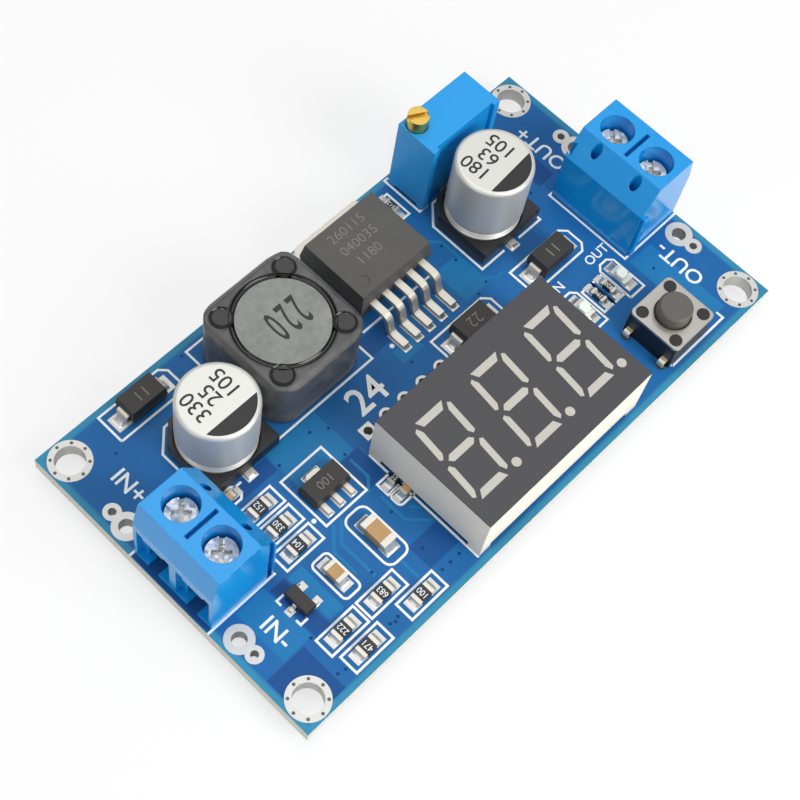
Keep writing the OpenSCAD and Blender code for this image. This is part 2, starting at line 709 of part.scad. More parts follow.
// Places of the leads that go through the board
bar_pin_holes = [for (side = [INPUT, OUTPUT], pole = [MINUS, PLUS])
  terminal_point(side, bar_leg_u, pole * terminal_pitch / 2)];
trimmer_pin_holes = [for (i = [-1 : 1]) trimmer_at + [i * trimmer_pin_pitch, 0]];
display_pin_holes = [for (row = [-1, 1], i = [0 : display_pins_n - 1])
  display_at + [(i - (display_pins_n - 1) / 2) * display_pin_pitch, row * display_row / 2]];
switch_lead_holes = [for (sx = [-1, 1], sy = [-1, 1])
  switch_at + [sx * switch_lead_span / 2, sy * switch_lead_pitch / 2]];
header_holes = [for (i = [0 : header_count - 1]) header_at + [i * header_pitch, 0]];
corner_holes = [for (sx = [-1, 1], sy = [-1, 1])
  [sx * (board_l / 2 - corner_inset), sy * (board_w / 2 - corner_inset)]];
bar_pin_r = norm([bar_pin_w, bar_t]) / 2;
display_pin_r = display_pin_w / sqrt(2);
switch_lead_r = norm([switch_lead_w, switch_lead_t]) / 2;

// Wire holes: [x, y of the larger hole, y of the smaller hole]
wire_ring_r = wire_hole_d / 2 + wire_ring_w;
wire_pads = [for (side = [INPUT, OUTPUT], pole = [MINUS, PLUS])
  let (gap = side == INPUT ? input_pad_gap : output_pad_gap,
     y = terminal_y + pole * (terminal_w / 2 + gap + wire_ring_r))
  [side * (board_l / 2 - wire_pad_inset), y, y + pole * wire_pad_pitch]];

// Display: heights above the board
face_bottom = display_h - display_face_t;
substrate_top = substrate_z + substrate_t;

// Push button: heights above the board, from the cover
cover_bottom = switch_h - switch_cover_t;
flange_top = cover_bottom - run_gap;
flange_bottom = flange_top - button_flange_t;
cavity_floor = flange_bottom - run_gap - dome_h;

// Points of bent strips
function unit(v) = v / norm(v);
function left_of(v) = [-v.y, v.x];
function turned(v, a) = [v.x * cos(a) - v.y * sin(a), v.x * sin(a) + v.y * cos(a)];
function corner_arc(a, b, c, r) =
  let (u = unit(a - b), v = unit(c - b), half = acos(u * v) / 2,
     middle = b + unit(u + v) * r / sin(half),
     start = b + u * r / tan(half) - middle,
     sweep = (180 - 2 * half) * sign(cross(v, u)))
  [for (i = [0 : bend_steps]) middle + turned(start, sweep * i / bend_steps)];
function rounded_path(p, r) = concat([p[0]],
  [for (i = [1 : len(p) - 2]) each corner_arc(p[i - 1], p[i], p[i + 1], r)], [p[len(p) - 1]]);
function beside(p, i, d) =
  let (last = len(p) - 1,
     before = left_of(unit(i > 0 ? p[i] - p[i - 1] : p[1] - p[0])),
     after = left_of(unit(i < last ? p[i + 1] - p[i] : p[last] - p[last - 1])),
     mitre = unit(before + after))
  p[i] + mitre * d / (mitre * before);
function strip_outline(p, t) = concat(
  [for (i = [0 : len(p) - 1]) beside(p, i, t / 2)],
  [for (i = [len(p) - 1 : -1 : 0]) beside(p, i, -t / 2)]);

// Side outline of a moulded body, widest at its parting line
function draft_outline(w, h, part, draft) = let (low = draft * part, high = draft * (h - part))
  [[-w / 2 + low, 0], [w / 2 - low, 0], [w / 2, part], [w / 2 - high, h], [-w / 2 + high, h],
   [-w / 2, part]];

// Where a point of a terminal lies on the board
function terminal_point(side, u, across) =
  [side == INPUT ? input_back_x - u : output_back_x + u, terminal_y + across];

// Strip of sheet metal bent in the XZ plane and centred on Y
module bent_strip(path, t, r, width) {
  rotate([90, 0, 0])
    linear_extrude(width, center = true)
      polygon(strip_outline(rounded_path(path, r), t));
}

module moulded_body(size, part, draft) {
  intersection() {
    rotate([90, 0, 0])
      linear_extrude(size.y + cut, center = true)
        polygon(draft_outline(size.x, size.z, part, draft));
    rotate([90, 0, 90])
      linear_extrude(size.x + cut, center = true)
        polygon(draft_outline(size.y, size.z, part, draft));
  }
}

// Block that stands on z and is centred on X and Y
module block(size, z = 0) {
  translate([-size.x / 2, -size.y / 2, z]) cube(size);
}

module rounded_rectangle(w, d, r) {
  square([w - 2 * r, d], center = true);
  square([w, d - 2 * r], center = true);
  for (sx = [-1, 1], sy = [-1, 1])
    translate([sx * (w / 2 - r), sy * (d / 2 - r)]) circle(r);
}

module on_board(at, turn = 0) {
  translate([at.x, at.y, board_top]) rotate([0, 0, turn]) children();
}

module ring(at, hole_d, ring_w) {
  translate(at)
    difference() {
      circle(hole_d / 2 + ring_w);
      circle(hole_d / 2);
    }
}

// Board
module drill(points, d) {
  for (p = points)
    translate([p.x, p.y, board_bottom - cut]) cylinder(d = d, h = board_t + 2 * cut);
}

module circuit_board() {
  color("royalblue")
    difference() {
      block([board_l, board_w, board_t], board_bottom);
      drill(corner_holes, corner_hole_d);
      drill([for (p = wire_pads) [p[0], p[1]]], wire_hole_d);
      drill([for (p = wire_pads) [p[0], p[2]]], test_hole_d);
      drill(header_holes, header_hole_d);
      drill(bar_pin_holes, 2 * (bar_pin_r + lead_hole_gap));
      drill(trimmer_pin_holes, trimmer_pin_d + 2 * lead_hole_gap);
      drill(display_pin_holes, 2 * (display_pin_r + lead_hole_gap));
      drill(switch_lead_holes, 2 * (switch_lead_r + lead_hole_gap));
    }
}

// Rings that show on both faces of the board
module open_rings() {
  for (p = corner_holes)
    ring(p, corner_hole_d, corner_ring_w);
  for (p = wire_pads)
    difference() {
      union() {
        translate([p[0], p[1]]) circle(wire_ring_r);
        translate([p[0], p[2]]) circle(test_hole_d / 2 + test_ring_w);
      }
      translate([p[0], p[1]]) circle(d = wire_hole_d);
      translate([p[0], p[2]]) circle(d = test_hole_d);
    }
  difference() {
    translate(header_holes[0]) square(header_hole_d + 2 * header_ring_w, center = true);
    translate(header_holes[0]) circle(d = header_hole_d);
  }
  for (i = [1 : header_count - 1])
    ring(header_holes[i], header_hole_d, header_ring_w);
}

module pad(at, size) {
  translate(at) square(size, center = true);
}

module chip_pads(places, size) {
  for (p = places)
    translate([p.x, p.y]) rotate(p.z)
      for (s = [-1, 1])
        pad([s * (size.x / 2 + chip_pad_l / 2 - size.x * chip_end_share), 0],
          [chip_pad_l, size.y + chip_pad_extra]);
}

module surface_pads() {
  chip_pads(resistors_big, resistor_big);
  chip_pads(resistors_small, resistor_small);
  chip_pads(ceramics_large, ceramic_large);
  chip_pads(ceramics_medium, ceramic_medium);
  chip_pads(ceramics_small, ceramic_small);
  chip_pads(lamps, lamp_size);
  for (p = [input_diode_at, rectifier_diode_at, output_diode_at], s = [-1, 1])
    pad(p + [s * diode_span / 2, 0], [diode_pad_l, diode_lead_w + 2 * pad_margin]);
  for (p = [input_can_at, output_can_at], s = [-1, 1])
    pad(p + [0, s * (can_base_w / 2 + can_lead_reach + 2 * pad_margin - can_pad_l / 2)],
      [can_lead_w + 2 * pad_margin, can_pad_l]);
  for (s = [-1, 1])
    pad(inductor_at + [s * (inductor_w / 2 - inductor_plate_l / 2), 0],
      [inductor_plate_l, inductor_plate_w]);
  for (i = [-2 : 2])
    pad(chip_at + [i * chip_pitch, -chip_l / 2 - chip_lead_reach + (chip_foot_l - chip_pad_ahead) / 2],
      [chip_lead_w + pad_margin, chip_foot_l + chip_pad_ahead]);
  pad(chip_at + [0, chip_l / 2 + chip_tab_reach + pad_margin - chip_tab_pad_l / 2],
    [chip_tab_w + 2 * pad_margin, chip_tab_pad_l]);
  for (i = [-1 : 1])
    pad(supply_at + [i * supply_pitch, -supply_size.y / 2 - supply_reach / 2],
      [supply_lead_w + 2 * pad_margin, supply_reach + 2 * pad_margin]);
  pad(supply_at + [0, supply_size.y / 2],
    [supply_tab_w + 2 * pad_margin, 2 * (supply_tab_reach + pad_margin)]);
  for (p = transistor_feet())
    pad(transistor_at + p, [transistor_pad_w, transistor_pad_w]);
  for (i = [0 : controller_leads_n - 1], s = [-1, 1])
    pad(controller_foot(i, s), [controller_pad_w, controller_pad_l]);
}

module lead_rings() {
  for (p = bar_pin_holes)
    ring(p, 2 * (bar_pin_r + lead_hole_gap), lead_ring_w);
  for (p = trimmer_pin_holes)
    ring(p, trimmer_pin_d + 2 * lead_hole_gap, lead_ring_w);
  for (p = display_pin_holes)
    ring(p, 2 * (display_pin_r + lead_hole_gap), lead_ring_w);
  for (p = switch_lead_holes)
    ring(p, 2 * (switch_lead_r + lead_hole_gap), lead_ring_w);
}

module solder_pads() {
  color("gainsboro") {
    translate([0, 0, board_top])
      linear_extrude(pad_t) {
        open_rings();
        intersection() {
          surface_pads();
          square([board_l - 2 * copper_gap, board_w - 2 * copper_gap], center = true);
        }
      }
    translate([0, 0, board_bottom - pad_t])
      linear_extrude(pad_t) {
        open_rings();
        lead_rings();
      }
  }
}

// Cone of solder around a tail, below the ring that it wets
module joint(at, lead_r) {
  translate([at.x, at.y, board_bottom - pad_t - joint_h])
    cylinder(r1 = lead_r + run_gap, r2 = lead_r + lead_hole_gap + lead_ring_w - run_gap, h = joint_h);
}

module solder_joints() {
  color("silver")
    difference() {
      union() {
        for (p = bar_pin_holes)
          joint(p, bar_pin_r);
        for (p = trimmer_pin_holes)
          joint(p, trimmer_pin_d / 2);
        for (p = display_pin_holes)
          joint(p, display_pin_r);
        for (p = switch_lead_holes)
          joint(p, switch_lead_r);
      }
      tails();
    }
}

// Straight tails of all the leads that go through the board
module tails() {
  for (p = bar_pin_holes)
    translate(p) block([bar_t, bar_pin_w, tail_depth]);
  for (p = trimmer_pin_holes)
    translate(p) cylinder(d = trimmer_pin_d, h = tail_depth);
  for (p = display_pin_holes)
    translate(p) block([display_pin_w, display_pin_w, tail_depth]);
  for (p = switch_lead_holes)
    translate(p) block([switch_lead_t, switch_lead_w, tail_depth]);
}

// Screw terminals, in a frame with X from the rear wall to the wire side
module at_terminal(side) {
  translate(concat(terminal_point(side, 0, 0), [board_top]))
    rotate([0, 0, side == INPUT ? 180 : 0])
      children();
}

// Moves to one pole of a terminal
module at_pole(side, pole) {
  at_terminal(side)
    translate([0, side * pole * terminal_pitch / 2, 0])
      children();
}

module terminal_outer() {
  rotate([90, 0, 0])
    linear_extrude(terminal_w, center = true)
      polygon([[0, 0], [terminal_depth, 0], [terminal_depth, terminal_front_h],
           [terminal_depth - terminal_front_set, terminal_h],
           [terminal_back_set, terminal_h], [0, terminal_back_h]]);
}

// Interlocking rib, wider at its outer face
module dovetail(w, proud, h) {
  linear_extrude(h)
    polygon([[-w / 2 + proud / 3, 0], [-w / 2, proud], [w / 2, proud], [w / 2 - proud / 3, 0]]);
}

// Everything that is hollow in one pole
module pole_hollow() {
  translate([terminal_back_wall, -chamber_w / 2, -cut])
    cube([chamber_front - terminal_back_wall, chamber_w, chamber_top + cut]);
  translate([screw_axis, 0, ledge_top])
    cylinder(d = driver_bore_d, h = terminal_h);
  translate([screw_axis, 0, chamber_top - cut])
    cylinder(d = clamp_shank_d + 2 * run_gap, h = clamp_ledge_t + 2 * cut);
  translate([terminal_depth - funnel_depth, -funnel_w / 2, sill_z])
    difference() {
      cube([terminal_depth, funnel_w, funnel_h - sill_z]);
      translate([funnel_depth / 2, (funnel_w - lip_w) / 2, funnel_h - sill_z - lip_h])
        cube([terminal_depth, lip_w, lip_h + cut]);
    }
  translate([chamber_front - cut, -entry_w / 2, sill_z])
    cube([terminal_depth, entry_w, entry_h - sill_z]);
  translate([chamber_front - cut, -sill_slot_w / 2, -cut])
    cube([terminal_depth, sill_slot_w, sill_z + 2 * cut]);
  translate([probe_u, 0, chamber_top - cut])
    cylinder(d = probe_d, h = terminal_h, $fn = 32);
}

module terminal_housing(side) {
  color("dodgerblue")
    at_terminal(side) {
      difference() {
        terminal_outer();
        for (pole = [MINUS, PLUS])
          translate([0, pole * terminal_pitch / 2, 0]) pole_hollow();
        translate([screw_axis, 0, terminal_h - divider_depth])
          block([divider_l, divider_w, terminal_h]);
        translate([rib_u + rib_w / 2, terminal_w / 2, -cut])
          mirror([0, 1, 0])
            translate([0, -slide_gap, 0])
              dovetail(rib_w + slide_gap, rib_proud + 2 * slide_gap, terminal_h);
      }
      translate([rib_u + rib_w / 2, -terminal_w / 2, 0])
        mirror([0, 1, 0])
          dovetail(rib_w, rib_proud, terminal_back_h - rib_proud);
    }
}

module terminal_pins(side) {
  front = screw_axis + cage_l / 2;
  color("silver")
    for (pole = [MINUS, PLUS])
      at_pole(side, pole) {
        translate([bar_leg_u - bar_t / 2, -bar_w / 2, bar_bottom])
          cube([front - bar_leg_u + bar_t / 2, bar_w, bar_t]);
        translate([bar_leg_u, 0, 0])
          block([bar_t, bar_w, bar_bottom], run_gap);
        translate([bar_leg_u, 0, 0])
          block([bar_t, bar_pin_w, tail_depth + run_gap], -tail_depth);
      }
}

module clamp_screw(side, pole) {
  color("gainsboro")
    at_pole(side, pole)
      translate([screw_axis, 0, 0])
        difference() {
          union() {
            translate([0, 0, bar_top + run_gap])
              cylinder(d = clamp_shank_d, h = clamp_head_bottom - bar_top - run_gap);
            translate([0, 0, clamp_head_bottom])
              cylinder(d = clamp_head_d, h = clamp_head_h);
          }
          for (turn = [45, 135])
            translate([0, 0, clamp_head_top - clamp_cross_depth])
              rotate([0, 0, turn])
                block([clamp_cross_l, clamp_slot_w, clamp_head_h]);
          translate([0, 0, clamp_head_top - clamp_slot_depth])
            rotate([0, 0, 45])
              block([clamp_head_d + cut, clamp_slot_w, clamp_head_h]);
        }
}

module clamp_cage(side, pole) {
  inner_top = cage_top - cage_plate_t;
  color("darkgray")
    at_pole(side, pole)
      translate([screw_axis, 0, 0])
        difference() {
          block([cage_l, cage_w, cage_top - cage_floor_z], cage_floor_z);
          block([cage_l + cut, cage_w - 2 * cage_wall_t, inner_top - sill_z], sill_z);
          translate([0, 0, inner_top - cut])
            cylinder(d = clamp_shank_d + 2 * run_gap, h = cage_plate_t + 2 * cut);
        }
}

module input_terminal_housing() { terminal_housing(INPUT); }
module input_terminal_pins() { terminal_pins(INPUT); }
module input_plus_screw() { clamp_screw(INPUT, PLUS); }
module input_plus_cage() { clamp_cage(INPUT, PLUS); }
module input_minus_screw() { clamp_screw(INPUT, MINUS); }
module input_minus_cage() { clamp_cage(INPUT, MINUS); }
module output_terminal_housing() { terminal_housing(OUTPUT); }
module output_terminal_pins() { terminal_pins(OUTPUT); }
module output_plus_screw() { clamp_screw(OUTPUT, PLUS); }
module output_plus_cage() { clamp_cage(OUTPUT, PLUS); }
module output_minus_screw() { clamp_screw(OUTPUT, MINUS); }
module output_minus_cage() { clamp_cage(OUTPUT, MINUS); }

// Trimmer
module trimmer_body() {
  color("dodgerblue")
    on_board(trimmer_at) {
      difference() {
        block([trimmer_l, trimmer_d, trimmer_h - trimmer_foot_h], trimmer_foot_h);
        translate([0, -trimmer_d / 2, 0])
          block([trimmer_l - 2 * trimmer_rib_w, 2 * trimmer_recess, trimmer_h + cut]);
        translate(concat(trimmer_screw_at, [trimmer_h - trimmer_screw_in - run_gap]))
          cylinder(d = trimmer_screw_d + 2 * run_gap, h = trimmer_h);
        for (i = [-1 : 1])
          translate([i * trimmer_pin_pitch, 0, 0])
            cylinder(d = trimmer_pin_d, h = 2 * trimmer_foot_h);
      }
      for (sx = [-1, 1], sy = [-1, 1])
        translate([sx * (trimmer_l - trimmer_foot_w) / 2, sy * (trimmer_d - trimmer_foot_w) / 2, 0])
          block([trimmer_foot_w, trimmer_foot_w, trimmer_foot_h]);
    }
}

module trimmer_screw() {
  color("goldenrod")
    on_board(trimmer_at)
      translate(concat(trimmer_screw_at, [trimmer_h - trimmer_screw_in]))
        difference() {
          cylinder(d = trimmer_screw_d, h = trimmer_screw_in + trimmer_screw_h);
          rotate([0, 0, trimmer_slot_turn])
            block([trimmer_screw_d + cut, trimmer_slot_w, trimmer_screw_h],
               trimmer_screw_in + trimmer_screw_h - trimmer_slot_depth);
        }
}

module trimmer_pins() {
  color("silver")
    for (p = trimmer_pin_holes)
      translate(p)
        cylinder(d = trimmer_pin_d, h = board_top + 2 * trimmer_foot_h);
}

// Can capacitors: heights above the board
can_foot_z = pad_t + can_lead_t;
can_seat_z = can_foot_z + can_base_t;

function arc(middle, r, from, to) =
  [for (i = [0 : bend_steps]) let (a = from + (to - from) * i / bend_steps)
    middle + r * [cos(a), sin(a)]];

// Half section of a can: flat foot, rolled bead, neck, wall and rounded top edge
bead_turn = 60;
function can_section(top) = let (r = can_d / 2, bead = can_bead_h / 2, neck = can_neck)
  concat([[0, can_seat_z], [r - bead, can_seat_z]],
    arc([r - bead, can_seat_z + bead], bead, -90, bead_turn),
    arc([r, can_seat_z + can_bead_h + neck], neck, 180 + bead_turn, 180 - bead_turn),
    [[r, can_seat_z + can_bead_h + 3 * neck]],
    arc([r - can_edge_r, top - can_edge_r], can_edge_r, 0, 90),
    [[0, top]]);

module can(at, top) {
  color("gainsboro")
    on_board(at)
      rotate_extrude() polygon(can_section(top));
}

module can_base(at) {
  half = can_base_w / 2;
  color([0.12, 0.12, 0.13])
    on_board(at)
      translate([0, 0, can_foot_z])
        difference() {
          linear_extrude(can_base_t + can_post_h)
            polygon([[-half, -half], [half, -half], [half, half - can_chamfer],
                 [half - can_chamfer, half], [can_chamfer - half, half],
                 [-half, half - can_chamfer]]);
          translate([0, 0, can_base_t])
            cylinder(d = can_d + 2 * slide_gap, h = can_post_h + cut);
        }
}

module can_leads(at) {
  reach = can_base_w / 2 + can_lead_reach;
  inner = can_lead_gap / 2;
  color("silver")
    on_board(at)
      for (s = [-1, 1])
        translate([0, s * (reach + inner) / 2, 0])
          block([can_lead_w, reach - inner, can_lead_t], pad_t);
}

module input_capacitor_can() { can(input_can_at, input_can_h); }
module input_capacitor_base() { can_base(input_can_at); }
module input_capacitor_leads() { can_leads(input_can_at); }
module output_capacitor_can() { can(output_can_at, output_can_h); }
module output_capacitor_base() { can_base(output_can_at); }
module output_capacitor_leads() { can_leads(output_can_at); }

// Inductor: heights above the board
inductor_z = pad_t + inductor_plate_t;
core_top = inductor_h - core_sink;

module inductor_shell() {
  body_h = inductor_h - inductor_z;
  edge_outline = [[-inductor_w / 2, 0], [inductor_w / 2, 0], [inductor_w / 2, body_h - inductor_edge],
    [inductor_w / 2 - inductor_edge, body_h], [inductor_edge - inductor_w / 2, body_h],
    [-inductor_w / 2, body_h - inductor_edge]];
  well = inductor_bore_d / 2 + glue_well_d / 4;
  color("dimgray")
    on_board(inductor_at)
      translate([0, 0, inductor_z])
        difference() {
          intersection() {
            linear_extrude(body_h)
              rounded_rectangle(inductor_w, inductor_w, inductor_corner_r);
            rotate([90, 0, 0])
              linear_extrude(inductor_w + cut, center = true) polygon(edge_outline);
            rotate([90, 0, 90])
              linear_extrude(inductor_w + cut, center = true) polygon(edge_outline);
          }
          translate([0, 0, -cut])
            cylinder(d = inductor_bore_d, h = body_h + 2 * cut);
          for (turn = [45 : 90 : 315])
            rotate([0, 0, turn])
              translate([well, 0, body_h - glue_well_depth])
                cylinder(d = glue_well_d, h = body_h);
        }
}

module inductor_core() {
  height = core_top - inductor_z;
  color("gray")
    on_board(inductor_at)
      translate([0, 0, inductor_z]) {
        cylinder(d = core_d, h = core_flange_t);
        cylinder(d = core_post_d, h = height);
        translate([0, 0, height - core_flange_t]) cylinder(d = core_d, h = core_flange_t);
      }
}

module inductor_winding() {
  height = core_top - inductor_z - 2 * core_flange_t - run_gap;
  color("sienna")
    on_board(inductor_at)
      translate([0, 0, inductor_z + core_flange_t])
        difference() {
          cylinder(d = winding_d, h = height);
          translate([0, 0, -cut]) cylinder(d = core_post_d + 2 * run_gap, h = height + 2 * cut);
        }
}

module inductor_terminals() {
  color("silver")
    on_board(inductor_at)
      for (s = [-1, 1])
        translate([s * (inductor_w - inductor_plate_l) / 2, 0, 0])
          block([inductor_plate_l, inductor_plate_w, inductor_plate_t], pad_t);
}

// Converter chip, in a frame at the middle of its body
chip_tab_in = chip_l / 2;
// Run of a gull-wing lead's slope for each unit of drop
gull_lean = 0.25;

module chip_tab_shape() {
  back = chip_l / 2 + chip_tab_reach;
  corner = chip_tab_reach / 2;
  half = chip_tab_w / 2;
  translate([0, 0, pad_t])
    linear_extrude(chip_tab_t)
      polygon([[-half, back - chip_tab_in], [half, back - chip_tab_in], [half, back - corner],
           [half - corner, back], [corner - half, back], [-half, back - corner]]);
}

// Gull-wing path from the body to the tip of the foot
function gull_path(start, span, z, t, foot) = [[start, z], [span - foot - (z - pad_t) * gull_lean, z],
  [span - foot, pad_t + t / 2], [span, pad_t + t / 2]];

module chip_lead_row() {
  path = gull_path(chip_l / 2 - lead_stub, chip_l / 2 + chip_lead_reach, chip_lead_z, chip_lead_t,
           chip_foot_l);
  for (i = [-2 : 2])
    translate([i * chip_pitch, 0, 0])
      rotate([0, 0, -90])
        bent_strip(path, chip_lead_t, chip_bend_r, chip_lead_w);
}

module converter_chip_body() {
  body_h = chip_h - pad_t;
  mark_at = [chip_mark_inset - chip_w / 2, chip_mark_inset - chip_l / 2, chip_h - chip_mark_depth];
  color([0.25, 0.24, 0.23])
    on_board(chip_at)
      difference() {
        translate([0, 0, pad_t])
          moulded_body([chip_w, chip_l, body_h], chip_lead_z - pad_t, chip_draft);
        chip_tab_shape();
        chip_lead_row();
        translate(mark_at) cylinder(d = chip_mark_d, h = chip_h);
      }
}

module converter_chip_tab() {
  color("silver") on_board(chip_at) chip_tab_shape();
}

module converter_chip_leads() {
  color("silver") on_board(chip_at) chip_lead_row();
}

// Moulded diodes
module diode_leads(at) {
  part = diode_lift + diode_size.z / 2;
  outer = (diode_span - thin_lead_t) / 2;
  foot_z = pad_t + thin_lead_t / 2;
  path = [[diode_size.x / 2 - lead_stub, part], [outer, part], [outer, foot_z],
      [outer - diode_foot_l, foot_z]];
  color("silver")
    on_board(at)
      for (turn = [0, 180])
        rotate([0, 0, turn])
          bent_strip(path, thin_lead_t, thin_lead_t, diode_lead_w);
}

module diode_body(at) {
  color([0.13, 0.11, 0.1])
    difference() {
      on_board(at)
        translate([0, 0, diode_lift])
          moulded_body(diode_size, diode_size.z / 2, small_draft);
      diode_leads(at);
    }
}

module input_diode_body() { diode_body(input_diode_at); }
module input_diode_leads() { diode_leads(input_diode_at); }
module rectifier_diode_body() { diode_body(rectifier_diode_at); }
module rectifier_diode_leads() { diode_leads(rectifier_diode_at); }
module output_diode_body() { diode_body(output_diode_at); }
module output_diode_leads() { diode_leads(output_diode_at); }

// Supply regulator with flat leads and a tab
module supply_regulator_leads() {
  color("silver")
    on_board(supply_at) {
      for (i = [-1 : 1])
        translate([i * supply_pitch, -(supply_size.y + supply_reach - lead_stub) / 2, 0])
          block([supply_lead_w, supply_reach + lead_stub, supply_lead_t], pad_t);
      translate([0, supply_size.y / 2, pad_t])
        linear_extrude(supply_lead_t)
          rounded_rectangle(supply_tab_w, 2 * supply_tab_reach, supply_tab_r);
    }
}

module supply_regulator_body() {
  color([0.13, 0.12, 0.12])
    difference() {
      on_board(supply_at)
        translate([0, 0, pad_t])
          moulded_body(supply_size, supply_lead_t, small_draft);
      supply_regulator_leads();
    }
}

// Small transistor: one lead on the left, two on the right
function transistor_feet() = [[-transistor_span / 2, 0],
  [transistor_span / 2, transistor_pitch / 2], [transistor_span / 2, -transistor_pitch / 2]];

module transistor_leads() {
  z = pad_t + small_lift + transistor_size.z / 2;
  path = gull_path(transistor_size.x / 2 - lead_stub / 2, transistor_span / 2, z, fine_lead_t,
           fine_foot_l);
  color("silver")
    on_board(transistor_at)
      for (p = transistor_feet())
        translate([0, p.y, 0])
          rotate([0, 0, p.x < 0 ? 180 : 0])
            bent_strip(path, fine_lead_t, fine_lead_t, transistor_lead_w);
}

module transistor_body() {
  color([0.12, 0.12, 0.13])
    difference() {
      on_board(transistor_at)
        translate([0, 0, pad_t + small_lift])
          moulded_body(transistor_size, transistor_size.z / 2, small_draft);
      transistor_leads();
    }
}

// Controller under the display
function controller_foot(i, side) = display_at
  + [(i - (controller_leads_n - 1) / 2) * controller_pitch, side * controller_span / 2];

module controller_leads() {
  z = pad_t + small_lift + controller_size.z / 2;
  path = gull_path(controller_size.y / 2 - lead_stub / 2, controller_span / 2, z, fine_lead_t,
           fine_foot_l);
  color("silver")
    for (i = [0 : controller_leads_n - 1], s = [-1, 1])
      on_board([controller_foot(i, s).x, display_at.y])
        rotate([0, 0, s * 90])
          bent_strip(path, fine_lead_t, fine_lead_t, controller_lead_w);
}

module controller_body() {
  color([0.12, 0.12, 0.13])
    difference() {
      on_board(display_at)
        translate([0, 0, pad_t + small_lift])
          moulded_body(controller_size, controller_size.z / 2, small_draft);
      controller_leads();
    }
}

// Chip resistors and ceramic capacitors: a middle between two tinned ends
module chip_middles(places, size) {
  for (p = places)
    on_board(p, p.z)
      block([size.x * (1 - 2 * chip_end_share), size.y, size.z], pad_t);
}

module chip_ends(places, size) {
  end = size.x * chip_end_share;
  for (p = places, s = [-1, 1])
    on_board(p, p.z)
      translate([s * (size.x - end) / 2, 0, 0])
        block([end, size.y, size.z], pad_t);
}

module resistor_bodies() {
  color([0.1, 0.1, 0.1]) {
    chip_middles(resistors_big, resistor_big);
    chip_middles(resistors_small, resistor_small);
  }
}

module resistor_ends() {
  color("silver") {
    chip_ends(resistors_big, resistor_big);
    chip_ends(resistors_small, resistor_small);
  }
}

module ceramic_capacitor_bodies() {
  color("tan") {
    chip_middles(ceramics_large, ceramic_large);
    chip_middles(ceramics_medium, ceramic_medium);
    chip_middles(ceramics_small, ceramic_small);
  }
}

module ceramic_capacitor_ends() {
  color("silver") {
    chip_ends(ceramics_large, ceramic_large);
    chip_ends(ceramics_medium, ceramic_medium);
    chip_ends(ceramics_small, ceramic_small);
  }
}

// Indicator lamps
module indicator_bases() {
  color("white")
    for (p = lamps)
      on_board(p, p.z) block(lamp_size, pad_t);
}

module indicator_lenses() {
  color("honeydew")
    for (p = lamps)
      on_board(p, p.z)
        translate([0, 0, pad_t + lamp_size.z])
          moulded_body([lamp_lens_l, lamp_size.y, lamp_lens_h], 0, small_draft);
}

// Display: outlines of the seven segments, in a frame at the middle of a digit
function slanted(p) = [for (v = p) [v.x + v.y * tan(digit_slant), v.y]];
function bar_outline(y, upper, lower) =
  let (half = digit_w / 2 - post_segment_w - segment_gap / 2, w = bar_segment_w / 2)
  [[-half - upper, y + w], [half + upper, y + w], [half + lower, y - w], [-half - lower, y - w]];
function middle_outline() =
  let (half = digit_w / 2 - post_segment_w, w = bar_segment_w / 2)
  [[-half, 0], [w - half, w], [half - w, w], [half, 0], [half - w, -w], [w - half, -w]];
function post_outline(sx, sy) =
  let (outer = sx * digit_w / 2, inner = sx * (digit_w / 2 - post_segment_w),
     far = sy * (digit_h / 2 - segment_gap - bar_segment_w / 3), near = sy * segment_gap)
  [[outer, far - sy * post_segment_w / 3], [(outer + inner) / 2, far],
   [inner, far - sy * post_segment_w], [inner, near + sy * post_segment_w],
   [(outer + inner) / 2, near + sy * post_segment_w / 4], [outer, near + sy * post_segment_w / 2]];
bar_level = (digit_h - bar_segment_w) / 2;
segment_outlines = concat(
  [bar_outline(bar_level, post_segment_w / 4, -post_segment_w / 2),
   bar_outline(-bar_level, -post_segment_w / 2, post_segment_w / 4),
   middle_outline()],
  [for (sx = [-1, 1], sy = [-1, 1]) post_outline(sx, sy)]);

module segment_field() {
  for (i = [-1 : 1])
    translate(digit_shift + [i * digit_pitch, 0]) {
      for (outline = segment_outlines)
        polygon(slanted(outline));
      translate(point_at) circle(d = point_d);
    }
}

module display_housing() {
  inner = [display_w - 2 * display_wall, display_d - 2 * display_wall];
  color([0.82, 0.8, 0.76])
    on_board(display_at)
      difference() {
        block([display_w, display_d, face_bottom]);
        translate([0, 0, -cut])
          block([inner.x, inner.y, substrate_top + cut]);
        translate([0, 0, -cut])
          block([display_w - 2 * display_foot, display_d + cut, display_relief + cut]);
        translate([0, 0, -cut])
          block([display_w + cut, display_d - 2 * display_foot, display_relief + cut]);
        translate([0, 0, substrate_top - cut])
          linear_extrude(display_h) segment_field();
      }
}

module display_face() {
  color([0.33, 0.32, 0.33])
    on_board(display_at)
      translate([0, 0, face_bottom])
        linear_extrude(display_face_t)
          difference() {
            square([display_w, display_d], center = true);
            segment_field();
          }
}

module display_segments() {
  color([0.85, 0.83, 0.78])
    on_board(display_at)
      translate([0, 0, substrate_top])
        linear_extrude(display_h - substrate_top) segment_field();
}

module display_substrate() {
  gap = 2 * (display_wall + slide_gap);
  color("darkgreen")
    on_board(display_at)
      block([display_w - gap, display_d - gap, substrate_t], substrate_z);
}

module display_pins() {
  color("silver")
    for (p = display_pin_holes)
      translate(p) block([display_pin_w, display_pin_w, board_top + substrate_z]);
}

// Push button switch
module at_stakes() {
  for (sx = [-1, 1], sy = [-1, 1])
    translate([sx * stake_pitch / 2, sy * stake_pitch / 2, 0]) children();
}

